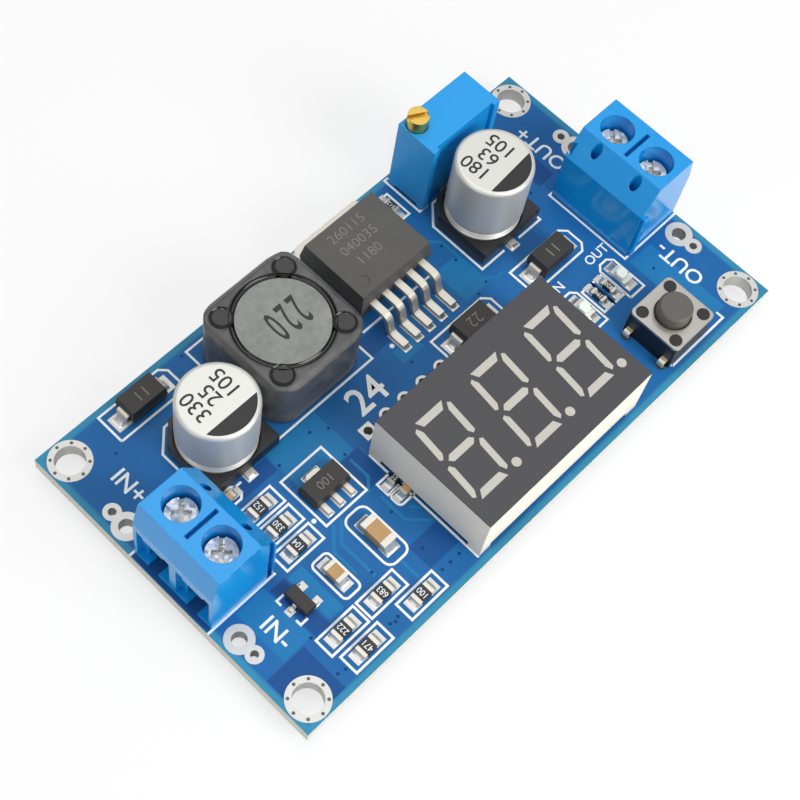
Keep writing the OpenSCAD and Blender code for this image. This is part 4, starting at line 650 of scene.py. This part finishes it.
class ConverterStage(bpy.types.PropertyGroup):
    """Camera and lights."""

    camera_place: FloatVectorProperty(
        name="Camera", description="Place of the camera", subtype="TRANSLATION", unit="LENGTH",
        default=(-0.066635, -0.039595, 0.146121),
    )
    camera_turn: FloatVectorProperty(
        name="Camera turn", description="Rotation of the camera", subtype="EULER",
        default=[math.radians(a) for a in (27.0074, -5.1412, -45.5172)],
    )
    lens: FloatProperty(
        name="Lens", description="Focal length on a 36 mm sensor", default=75.47, subtype="DISTANCE_CAMERA"
    )
    shift: FloatVectorProperty(
        name="Shift", description="Shift of the picture against the lens", size=2, default=(0.04706, -0.01655)
    )
    key_power: FloatProperty(name="Key", description="Power of the front light", default=0.8, unit="POWER")
    top_power: FloatProperty(name="Top", description="Power of the top light", default=0.82, unit="POWER")
    fill_power: FloatProperty(name="Fill", description="Power of the side light", default=0.14, unit="POWER")
    spark_power: FloatProperty(name="Spark", description="Power of the glint", default=0.1, unit="POWER")


class ConverterSettings(bpy.types.PropertyGroup):
    """All the settings of the module."""

    looks: PointerProperty(type=ConverterLooks)
    solder: PointerProperty(type=ConverterSolder)
    stage: PointerProperty(type=ConverterStage)


# What is printed, plated and etched on the board, in millimetres


def rectangle(x0, y0, x1, y1):
    """Corners of a rectangle, counter-clockwise."""
    return [(x0, y0), (x1, y0), (x1, y1), (x0, y1)]


def around(x0, y0, x1, y1, cx, cy, half):
    """Four rectangles that make a larger one with a square opening."""
    return [
        (x0, y0, x1, cy - half),
        (x0, cy + half, x1, y1),
        (x0, cy - half, cx - half, cy + half),
        (cx + half, cy - half, x1, cy + half),
    ]


def can_outline(cx, cy, half, cut, gap):
    """Two halves of a can's outline, chamfered on the positive side and open at its leads."""
    right = [
        (cx + gap, cy - half),
        (cx + half, cy - half),
        (cx + half, cy + half - cut),
        (cx + half - cut, cy + half),
        (cx + gap, cy + half),
    ]
    return [right, [(2 * cx - x, y) for x, y in right]]


def soft_box(x0, y0, x1, y1, r):
    """Closed outline of a rectangle with rounded corners."""
    points = []
    for i, (cx, cy) in enumerate(((x1 - r, y1 - r), (x0 + r, y1 - r), (x0 + r, y0 + r), (x1 - r, y0 + r))):
        points += [on_circle(cx, cy, r, math.pi / 2 * (i + j / 4)) for j in range(5)]
    return points + points[:1]


def diode_outline(x0, x1, y0, y1, cut=0.7):
    """Outline of a diode, chamfered at its marked end."""
    return [(x0, y0), (x0, y1), (x1 - cut, y1), (x1, y1 - cut), (x1, y0 + cut), (x1 - cut, y0), (x0, y0)]


def lamp_outline(cx, half=1.05, low=-8.85, high=-4.2, cut=0.55):
    """Outline of an indicator lamp, chamfered at its marked end."""
    flat = half - cut
    top = [(cx + half, high - cut), (cx + flat, high), (cx - flat, high), (cx - half, high - cut)]
    return [(cx - half, low), (cx + half, low), *top, (cx - half, low)]


LINES = [
    # input and output terminal
    [(-HALF_LENGTH, 5.0), (-24.6, 5.0)],
    [(-HALF_LENGTH, -5.3), (-24.6, -5.3)],
    [(HALF_LENGTH, 4.95), (24.85, 4.95), (24.85, -5.45), (HALF_LENGTH, -5.45)],
    # trimmer and converter chip
    [(13.9, 17.7), (13.35, 17.7), (13.35, 12.65), (14.5, 12.65)],
    [(14.8, 13.35), (16.2, 13.35)],
    [(-1, 6.72), (8.75, 6.72)],
    # input, rectifier and output diode
    diode_outline(-25.9, -17.7, 13.95, 17.25),
    diode_outline(3.2, 11.2, -2.1, 1.45),
    diode_outline(14.85, 23.0, -1.85, 1.45),
    # push button and display
    [(18.9, -16.75), (27, -16.75), (27, -15.9)],
    [(18.9, -16.75), (18.9, -16.0)],
    [(-9.95, -17.1), (-9.95, -2.9)],
    # small ceramic capacitor beside the input terminal
    [(-23.2, 3.7), (-21.8, 3.7), (-21.4, 3.3), (-21.4, 2.5), (-21.8, 2.1), (-23.2, 2.1)],
    # can capacitors, of which the input's has only its left half
    can_outline(-19.55, 7.85, 4.5, 2.0, 1.1)[1],
    *can_outline(17.5, 8.05, 4.42, 2.0, 1.1),
    # transistor and ceramic capacitors
    [(-26.4, -7.9), (-26.4, -7.3), (-25.5, -7.3)],
    [(-26.4, -9.8), (-26.4, -10.4), (-25.5, -10.4)],
    soft_box(-16.7, -12.2, -13.9, -5.95, 0.85),
    soft_box(-21.85, -11.6, -19.75, -7.0, 0.5),
    soft_box(-11.6, -8.6, -9.4, -7.15, 0.45),
    # indicator lamps
    lamp_outline(17.1),
    lamp_outline(22.85),
]
BOXES = [
    # inductor and supply regulator
    (-15.1, 4.1, -2.35, 16.85),
    (-18, -5.25, -12.7, 0.8),
    # resistors
    *[(-23.7, y - 1.03, -19.0, y + 1.03) for y in (0.2, -2.3, -4.9)],
    (-26.45, -14.42, -21.75, -12.38),
    (-21.35, -14.42, -16.65, -12.38),
    (-25.95, -17.02, -21.25, -14.98),
    (-18.8, -17.02, -14.1, -14.98),
    (18.55, -8.1, 20.1, -5.05),
    (20.1, -8.1, 21.65, -5.05),
    (10.6, 13.2, 12.4, 16.4),
    (-11.6, -7.0, -9.95, -5.55),
]
# Dots: place and diameter
DOTS = [(0.05, 3.75, 0.5), (-18.5, -4.1, 0.5)]
# Labels: words, place, turn in degrees, height against the labels' common one
LABELS = [
    ("IN+", -28.5, 10.1, -90, 1.0),
    ("IN-", -28.5, -9.4, -90, 1.0),
    ("OUT-", 28.65, -9.7, 90, 1.0),
    ("OUT+", 28.65, 9.4, 90, 1.0),
    ("OUT", 23.05, -3.15, 0, 0.62),
    ("IN", 17.1, -3.1, 0, 0.62),
    ("24", -5.6, 1.55, 0, 1.75),
]
LABEL_WEIGHT = 0.012
# Tented vias
VIAS = [
    (-13.3, -15.6), (-12.2, -15.6), (-11.0, -15.6), (-20.5, -15.9), (-20.0, -16.1), (-19.5, -15.9),
    (-27.2, -15.9), (-26.4, -16.1), (-12.6, -8.4), (-12.4, 2.6), (-16.9, 2.1), (-11.6, -1.3),
    (-18.2, -11.3), (-13.1, -12.9), (10.7, 1.9), (12.3, 2.4), (11.9, 6.2), (12.0, 8.3),
    (14.3, -8.5), (15.2, -3.4), (26.2, -8.2), (26.6, -11.2), (-27.1, 13.4), (-26.2, 7.4),
    (-15.7, 16.8), (24.8, 9.7), (24.9, 12.1), (23.6, 6.4), (-26.6, -11.9), (0.2, 1.2), (-10.8, 1.7),
]
# Rectangles without copper, which look darker, and the same darker mask as painted shade under the two
# terminals
BARE_AND_SHADE = [
    # painted shade on the board under the input and output terminals, darkening their wire entries
    (-32.9, -5.15, -24.9, 4.85),
    (25.2, -5.15, 32.9, 4.85),
    *around(-32.2, -17.2, -27.6, -12.0, -CORNER_X, -CORNER_Y, 1.53),
    (-26.2, -12.2, -24.4, -6.2),
    (-12.9, -5.4, -10.2, -1.6),
    (-14.0, -14.8, -10.2, -11.9),
    (-24.0, 1.9, -17.3, 3.6),
    (-2.2, 4.2, 1.6, 6.4),
    (24.9, 6.4, 27.2, 12.6),
    (13.2, -6.0, 15.0, -2.4),
]
# Fields of poured copper, which look paler
POURED = [
    rectangle(-17.1, -1.5, -10.6, 3.8),
    rectangle(-29.9, -11.8, -26.4, -5.6),
    rectangle(-24.2, -11.9, -22.4, -6.4),
    [(9.2, 2.2), (12.6, 2.2), (12.6, 5.8), (11.8, 6.6), (9.2, 6.6)],
    rectangle(24.9, -16.0, 28.2, -6.0),
    rectangle(-0.4, 1.6, 2.4, 3.2),
]
TRACKS = [
    [(-16.4, -5.6), (-18.2, -7.4), (-18.2, -11.8)],
    [(-17.4, -5.6), (-19.3, -7.5), (-19.3, -10.4)],
    [(-12.2, -6.6), (-12.2, -9.8), (-10.4, -11.6)],
    [(-11.0, -9.2), (-10.2, -10.0)],
    [(-15.4, -12.4), (-15.4, -14.6)],
    [(-12.8, -5.6), (-11.6, -4.4), (-11.6, -2.0)],
    [(11.4, 9.6), (12.4, 8.6), (12.4, 3.0), (13.4, 2.0), (14.4, 2.0)],
]


# Operators


class CONVERTER_OT_groups(bpy.types.Operator):
    """Makes the shared shader groups"""

    bl_idname = "converter.groups"
    bl_label = "Shader groups"

    def execute(self, context):
        surface_group()
        crystal_group()
        board_group()
        return {"FINISHED"}


class CONVERTER_OT_board(bpy.types.Operator):
    """Coats the board and adds its small plated holes as discs with painted shade, the gaps in its copper,
    painted shade under its terminals and its tracks
    """

    bl_idname = "converter.board"
    bl_label = "Board"

    def execute(self, context):
        solder = context.scene.converter.solder
        dress("circuit_board", "solder_pads", "solder_joints")
        disc = unit_disc("hole")
        size = solder.ring_hole_size / MM
        middles = [(sx * CORNER_X, sy * CORNER_Y) for sx in (-1, 1) for sy in (-1, 1)]
        rings = [
            (*on_circle(cx, cy, RING_RADIUS, a), PAD_TOP + MARK_LIFT, 0, (size, size, 1))
            for cx, cy in middles
            for a in turns(solder.ring_holes)
        ]
        # grey discs stand for the open holes of the corner rings: plated metal, with painted shade inside the
        # holes
        scatter("ring_holes", disc, rings, "via_dark")
        vias = [(x, y, BOARD_TOP + VIA_LIFT, 0, (VIA_SIZE, VIA_SIZE, 1)) for x, y in VIAS]
        scatter("tented_vias", disc, vias, "via_mask")
        # gaps in the copper, and painted shade under the terminals
        bare_and_shade = Sheet(BOARD_TOP + BARE_LIFT)
        for corners in BARE_AND_SHADE:
            bare_and_shade.field(rectangle(*corners))
        bare_and_shade.piece("bare_fields", "mask_dark")
        copper = Sheet(BOARD_TOP + POURED_LIFT)
        for points in POURED:
            copper.field(points)
        copper.z = BOARD_TOP + TRACK_LIFT
        for points in TRACKS:
            copper.stroke(points, TRACK_WIDTH)
        copper.piece("copper_fields", "mask_pale")
        return {"FINISHED"}


class CONVERTER_OT_print(bpy.types.Operator):
    """Prints the outlines and the plain labels on the board"""

    bl_idname = "converter.board_print"
    bl_label = "Board print"

    def execute(self, context):
        looks = context.scene.converter.looks
        width = looks.line_width / MM
        height = looks.label_height / MM
        sheet = Sheet(BOARD_TOP + looks.print_lift / MM)
        for points in LINES:
            sheet.stroke(points, width)
        for corners in BOXES:
            sheet.stroke(rectangle(*corners), width, closed=True)
        for x, y, d in DOTS:
            sheet.dot(x, y, d)
        for words, x, y, turn, share in LABELS:
            sheet.text(words, height * share, x, y, turn, weight=LABEL_WEIGHT)
        sheet.piece("board_print", "print_white")
        return {"FINISHED"}


# Solder at leads: length, rise and share of the lead's width, ending of the body's node, then the parts
LEAD_TOES = (
    ((0.7, 0.7, 0.85), "_body", ("input_diode", "rectifier_diode", "output_diode")),
    ((0.42, 0.4, 1.0), "_body", ("converter_chip",)),
    ((0.22, 0.25, 1.1), "_body", ("supply_regulator", "transistor")),
    ((0.38, 0.24, 1.2), "_can", ("input_capacitor", "output_capacitor")),
)
# Solder at chip parts: rise against the height of the end, and the width of an end with a full fillet
CHIP_RISE = 0.75
LAMP_RISE = 0.9
FULL_END = 0.5


def toe(box, outward, length, rise, wide=1.0):
    """Spot of a fillet from the outward face of a box down to its pad."""
    half = (box[1] - box[0]) / 2
    along, across = (half.x, half.y) if abs(outward.x) > abs(outward.y) else (half.y, half.x)
    foot = middle(box) + outward * along
    turn = math.degrees(math.atan2(outward.y, outward.x))
    return foot.x, foot.y, PAD_TOP, turn, (length, 2 * across * wide, rise)


def fillet_height(x, y):
    """Height of the unit fillet, falling along x and rounded off at both sides."""
    return (1 - x) ** 2 * (1 - abs(y) ** 5) + 0.02 * (1 - x)


class CONVERTER_OT_solder(bpy.types.Operator):
    """Adds the solder fillets at the ends of the chip parts and leads"""

    bl_idname = "converter.solder"
    bl_label = "Solder fillets"

    def execute(self, context):
        solder = context.scene.converter.solder
        reach = solder.fillet_length / MM
        spots = []
        for kind in ("resistor", "ceramic_capacitor"):
            owners = [middle(b) for b in islands(kind + "_bodies")]
            for box in islands(kind + "_ends"):
                at = middle(box)
                owner = min(owners, key=lambda m: (m - at).length)
                size = box[1] - box[0]
                length = reach * min(1, min(size.x, size.y) / FULL_END)
                spots.append(toe(box, compass(at - owner), length, size.z * CHIP_RISE))
        for box in islands("indicator_bases"):
            for side in (-1, 1):
                spots.append(toe(box, Vector((0, side, 0)), reach, (box[1].z - box[0].z) * LAMP_RISE))
        for sizes, ending, names in LEAD_TOES:
            for name in names:
                centre = middle(node_box(name + ending))
                for box in islands(name + "_leads"):
                    spots.append(toe(box, compass(middle(box) - centre), *sizes))
        fillet = unit_shape("fillet", fillet_height)
        scatter("solder_fillets", fillet, spots, "solder", solder.fillet_size)
        return {"FINISHED"}


class CONVERTER_OT_terminals(bpy.types.Operator):
    """Finishes the two screw terminals with their screws, cages and pins"""

    bl_idname = "converter.terminals"
    bl_label = "Screw terminals"

    def execute(self, context):
        for side in ("input", "output"):
            dress(side + "_terminal_housing", side + "_terminal_pins")
        for pole in POLES:
            dress(pole + "_screw", pole + "_cage")
        return {"FINISHED"}


class CONVERTER_OT_trimmer(bpy.types.Operator):
    """Finishes the trimmer"""

    bl_idname = "converter.trimmer"
    bl_label = "Trimmer"

    def execute(self, context):
        dress("trimmer_body", "trimmer_screw", "trimmer_pins")
        return {"FINISHED"}


# Print on the cans: can, distance of the black field's edge from the middle, turn in degrees, words
CAN_PRINTS = (
    ("input_capacitor", 1.8, 0.0, ("330", "25", "105")),
    ("output_capacitor", 1.85, 4.6, ("180", "63", "105")),
)
CAN_EDGE = 0.42
CAN_ARC_STEPS = 24
CAN_DIGIT = 1.5
CAN_ROW = 1.85
CAN_ROWS_AT = (-0.1, 0.8)
CAN_WEIGHT = 0.006


class CONVERTER_OT_capacitors(bpy.types.Operator):
    """Finishes the can capacitors and prints their tops with plain numbers"""

    bl_idname = "converter.capacitors"
    bl_label = "Can capacitors"

    def execute(self, context):
        for name, chord, tilt, words in CAN_PRINTS:
            dress(name + "_can", name + "_base", name + "_leads")
            lo, hi = node_box(name + "_can")
            cx, cy = middle((lo, hi)).xy
            r = (hi.x - lo.x) / 2 - CAN_EDGE
            sheet = Sheet(hi.z + CAN_PRINT_LIFT)
            low = math.asin(chord / r)
            start = math.pi + low + math.radians(tilt)
            sweep = math.pi - 2 * low
            arc = [start + sweep * i / CAN_ARC_STEPS for i in range(CAN_ARC_STEPS + 1)]
            sheet.field([on_circle(cx, cy, r, a) for a in arc])
            for i, word in enumerate(words):
                x, y = cx + CAN_ROWS_AT[0] + (i - 1) * CAN_ROW, cy + CAN_ROWS_AT[1]
                sheet.text(word, CAN_DIGIT, x, y, 90 + tilt, weight=CAN_WEIGHT)
            sheet.piece(name + "_print", "print_black")
        return {"FINISHED"}


# Inductor: digits with their offsets from its middle, and sections of the resin as (radius, height)
CORE_DIGITS = ((1.98, "2"), (0.55, "2"), (-0.95, "0"))
CORE_DIGITS_BACK = 0.1
CORE_DIGIT = 3.3
RESIN_RING = [(4.6, -0.1), (4.72, -0.26), (4.9, -0.32), (5.05, -0.2), (5.14, -0.04)]
RESIN_WELL = [(0.0, -0.2), (0.6, -0.19), (0.9, -0.155), (1.07, -0.1), (1.17, -0.02)]
WELLS_OUT = 5.75


class CONVERTER_OT_inductor(bpy.types.Operator):
    """Finishes the inductor, with its resin and a plain number"""

    bl_idname = "converter.inductor"
    bl_label = "Inductor"

    def execute(self, context):
        dress("inductor_shell", "inductor_core", "inductor_winding", "inductor_terminals")
        lo, hi = node_box("inductor_shell")
        cx, cy = middle((lo, hi)).xy
        sheet = Sheet(node_box("inductor_core")[1].z + CORE_PRINT_LIFT)
        for offset, digit in CORE_DIGITS:
            sheet.text(digit, CORE_DIGIT, cx + offset, cy + CORE_DIGITS_BACK, 180, squeeze=0.46, weight=0.01)
        sheet.piece("inductor_number", "ferrite_mark")
        resin = Sheet(hi.z)
        resin.round(cx, cy, RESIN_RING, 48)
        for a in turns(4):
            resin.round(*on_circle(cx, cy, WELLS_OUT, math.pi / 4 + a), RESIN_WELL, 24)
        resin.piece("inductor_resin", "glue")
        return {"FINISHED"}


# Numbers on the moulded parts: offset from the chip's middle, or part and height
CHIP_WORDS = (("260115", -0.3, 2.6), ("040035", -0.3, 0.85), ("1180", -0.6, -0.9))
CHIP_DIGIT = 1.05
PART_WORDS = (
    ("input_diode", "11", 1.2),
    ("rectifier_diode", "22", 1.2),
    ("output_diode", "11", 1.2),
    ("supply_regulator", "100", 0.9),
)
LASER_WEIGHT = -0.012


class CONVERTER_OT_chips(bpy.types.Operator):
    """Finishes the converter chip, the diodes, the regulator, the transistor and the controller"""

    bl_idname = "converter.chips"
    bl_label = "Chips and diodes"

    def execute(self, context):
        dress("converter_chip_tab")
        for name, *_ in PART_WORDS:
            dress(name + "_body", name + "_leads")
        for name in ("converter_chip", "transistor", "controller"):
            dress(name + "_body", name + "_leads")
        lo, hi = node_box("converter_chip_body")
        cx, cy = middle((lo, hi)).xy
        sheet = Sheet(hi.z + CHIP_PRINT_LIFT)
        for word, x, y in CHIP_WORDS:
            sheet.text(word, CHIP_DIGIT, cx + x, cy + y, squeeze=1.05, weight=LASER_WEIGHT)
        for name, word, height in PART_WORDS:
            lo, hi = node_box(name + "_body")
            sheet.z = hi.z + CHIP_PRINT_LIFT
            sheet.text(word, height, *middle((lo, hi)).xy, 180, weight=LASER_WEIGHT)
        sheet.piece("chip_number", "print_grey")
        return {"FINISHED"}


# Numbers of the resistors, from the board's left end to its right, and the lamps' marks
RESISTOR_NUMBERS = ("222", "471", "104", "330", "152", "683", "100", "221", "512", "394", "820")
NUMBER_OF_WIDTH = 0.62
NUMBER_OF_LENGTH = 0.5
LAMP_MARK = 0.2
LAMP_MARK_INSET = 0.16


class CONVERTER_OT_chip_parts(bpy.types.Operator):
    """Finishes the chip resistors, ceramic capacitors and lamps"""

    bl_idname = "converter.chip_parts"
    bl_label = "Chip parts"

    def execute(self, context):
        for kind in ("resistor", "ceramic_capacitor"):
            dress(kind + "_bodies", kind + "_ends")
        dress("indicator_bases", "indicator_lenses")
        boxes = sorted(islands("resistor_bodies"), key=lambda b: (round(b[0].x, 2), round(b[0].y, 2)))
        sheet = Sheet(0)
        for (lo, hi), number in zip(boxes, RESISTOR_NUMBERS):
            size = hi - lo
            upright = size.y > size.x
            long, wide = (size.y, size.x) if upright else (size.x, size.y)
            height = min(wide * NUMBER_OF_WIDTH, long * NUMBER_OF_LENGTH)
            sheet.z = hi.z + MARK_LIFT
            sheet.text(number, height, *middle((lo, hi)).xy, 90 if upright else 0, squeeze=0.9)
        sheet.piece("resistor_numbers", "print_white")
        marks = Sheet(0)
        for lo, hi in islands("indicator_lenses"):
            marks.z = hi.z + MARK_LIFT
            marks.dot(lo.x + LAMP_MARK_INSET, hi.y - LAMP_MARK_INSET, LAMP_MARK, 10)
            marks.dot(hi.x - LAMP_MARK_INSET, lo.y + LAMP_MARK_INSET, LAMP_MARK, 10)
        marks.piece("lamp_marks", "lamp_mark")
        return {"FINISHED"}


class CONVERTER_OT_display(bpy.types.Operator):
    """Finishes the display"""

    bl_idname = "converter.display"
    bl_label = "Display"

    def execute(self, context):
        dress("display_housing", "display_face", "display_segments", "display_substrate", "display_pins")
        return {"FINISHED"}


# The dome's copy: distance of points that are one, and the least angle of a sharp edge in degrees
DOME_MERGE = 0.001
DOME_SHARP = 35


class CONVERTER_OT_switch(bpy.types.Operator):
    """Finishes the push button switch, with a smooth copy of its snap dome"""

    bl_idname = "converter.push_button"
    bl_label = "Push button"

    def execute(self, context):
        dress("switch_base", "switch_cover", "switch_button", "switch_leads")
        shape = bmesh.new()
        shape.from_mesh(NODES["switch_dome"].data)
        bmesh.ops.remove_doubles(shape, verts=shape.verts, dist=DOME_MERGE * MM)
        mesh = bpy.data.meshes.new("snap_dome")
        shape.to_mesh(mesh)
        shape.free()
        mesh.shade_smooth()
        mesh.set_sharp_from_angle(angle=math.radians(DOME_SHARP))
        mesh.materials.clear()
        dome = new_piece("snap_dome", mesh, SLOT_OF["switch_dome"])
        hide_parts("switch_dome")
        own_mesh(dome)
        return {"FINISHED"}


# Studio, in metres: lights with their place and diameter, the point that they face, and the floor
LIGHTS = (
    ("key", (0.04, -0.26, 0.2), 0.22),
    ("top", (0.03, 0.08, 0.4), 0.5),
    ("fill", (-0.3, 0.02, 0.18), 0.2),
    ("spark", (-0.13, -0.08, 0.42), 0.06),
)
LIGHTS_FACE = Vector((0, 0, 0.005))
FLOOR_HALF = 2
FLOOR_HEIGHT = -0.02 * MM
# Width of the camera's sensor, in millimetres
SENSOR_WIDTH = 36


class CONVERTER_OT_stage(bpy.types.Operator):
    """Sets the floor, the lights and the camera"""

    bl_idname = "converter.studio"
    bl_label = "Studio"

    def execute(self, context):
        scene = context.scene
        scene.view_settings.view_transform = "Standard"
        self.floor()
        self.world(scene)
        self.lights(scene)
        self.camera(scene)
        return {"FINISHED"}

    def floor(self):
        """Wide floor just under the part."""
        mesh = bpy.data.meshes.new("floor")
        corners = rectangle(-FLOOR_HALF, -FLOOR_HALF, FLOOR_HALF, FLOOR_HALF)
        mesh.from_pydata([(x, y, FLOOR_HEIGHT) for x, y in corners], [], [(0, 1, 2, 3)])
        mesh.materials.append(self.paper())
        floor = linked("floor", mesh)

    def paper(self):
        """Pale floor that the camera sees nearly white, with a soft shadow, and sees through from below."""
        made = bpy.data.materials.new("paper")
        made.use_nodes = True
        tree = made.node_tree
        tree.nodes.clear()
        place = put(tree, "ShaderNodeTexCoord").outputs["Object"]
        grain = put(tree, "ShaderNodeTexNoise", {"Vector": place, "Scale": 40.0}).outputs[0]
        pale = mixed(tree, grain, rgb("f4f4f4"), rgb("f8f8f8"))
        lit = put(tree, "ShaderNodeBsdfDiffuse", {"Color": pale})
        white = put(tree, "ShaderNodeEmission", {"Color": rgb("fdfdfd")})
        seen = maths(tree, "MULTIPLY", put(tree, "ShaderNodeLightPath").outputs["Is Camera Ray"], 0.7)
        both = put(tree, "ShaderNodeMixShader", {0: seen, 1: lit.outputs[0], 2: white.outputs[0]})
        clear = put(tree, "ShaderNodeBsdfTransparent")
        below = put(tree, "ShaderNodeNewGeometry").outputs["Backfacing"]
        one_sided = put(tree, "ShaderNodeMixShader", {0: below, 1: both.outputs[0], 2: clear.outputs[0]})
        put(tree, "ShaderNodeOutputMaterial", {"Surface": one_sided.outputs[0]})
        return made

    def world(self, scene):
        """White room: bright to the camera, softer in gloss, softest as a light."""
        room = bpy.data.worlds.new("room")
        room.use_nodes = True
        tree = room.node_tree
        tree.nodes.clear()
        path = put(tree, "ShaderNodeLightPath").outputs
        strength = blend(tree, path["Is Glossy Ray"], 0.26, 0.55)
        strength = blend(tree, path["Is Camera Ray"], strength, 1.0)
        white = put(tree, "ShaderNodeBackground", {"Color": rgb("fdfdfd"), "Strength": strength})
        put(tree, "ShaderNodeOutputWorld", {"Surface": white.outputs[0]})
        scene.world = room

    def lights(self, scene):
        """Round lights that face the part."""
        for name, place, size in LIGHTS:
            light = bpy.data.lights.new(name, "AREA")
            light.shape, light.size = "DISK", size
            light.energy = getattr(scene.converter.stage, name + "_power")
            lamp = linked(name, light)
            lamp.location = place
            lamp.rotation_euler = (LIGHTS_FACE - Vector(place)).to_track_quat("-Z", "Y").to_euler()

    def camera(self, scene):
        """Camera of the photo."""
        stage = scene.converter.stage
        camera = linked("camera", bpy.data.cameras.new("camera"))
        camera.location, camera.rotation_euler = stage.camera_place, Euler(stage.camera_turn)
        camera.data.lens, camera.data.sensor_width = stage.lens, SENSOR_WIDTH
        camera.data.shift_x, camera.data.shift_y = stage.shift
        camera.data.clip_start, camera.data.clip_end = 0.01, 10
        scene.camera = camera


class CONVERTER_PT_panel(bpy.types.Panel):
    """Panel in the 3D view's sidebar"""

    bl_label = "Boost Converter Module"
    bl_idname = "CONVERTER_PT_panel"
    bl_space_type = "VIEW_3D"
    bl_region_type = "UI"
    bl_category = "Converter"

    def draw(self, context):
        settings = context.scene.converter
        for part in (settings.looks, settings.solder, settings.stage):
            box = self.layout.box()
            for key in part.bl_rna.properties.keys():
                if key not in ("rna_type", "name"):
                    box.prop(part, key)
        for made in OPERATORS:
            self.layout.operator(made.bl_idname)


# Operators in the order in which main calls them
OPERATORS = (
    CONVERTER_OT_groups, CONVERTER_OT_board, CONVERTER_OT_print, CONVERTER_OT_solder,
    CONVERTER_OT_terminals, CONVERTER_OT_trimmer, CONVERTER_OT_capacitors, CONVERTER_OT_inductor,
    CONVERTER_OT_chips, CONVERTER_OT_chip_parts, CONVERTER_OT_display, CONVERTER_OT_switch,
    CONVERTER_OT_stage,
)
CLASSES = (ConverterLooks, ConverterSolder, ConverterStage, ConverterSettings, *OPERATORS, CONVERTER_PT_panel)


def register():
    """Registers the settings, operators and panel."""
    for made in CLASSES:
        bpy.utils.register_class(made)
    bpy.types.Scene.converter = PointerProperty(type=ConverterSettings)


def unregister():
    """Takes the settings, operators and panel away again."""
    del bpy.types.Scene.converter
    for made in reversed(CLASSES):
        bpy.utils.unregister_class(made)


def main():
    """Builds the module's looks."""
    register()
    for made in OPERATORS:
        step = made.bl_idname.partition(".")[2]
        getattr(bpy.ops.converter, step)()


if __name__ == "__main__":
    main()
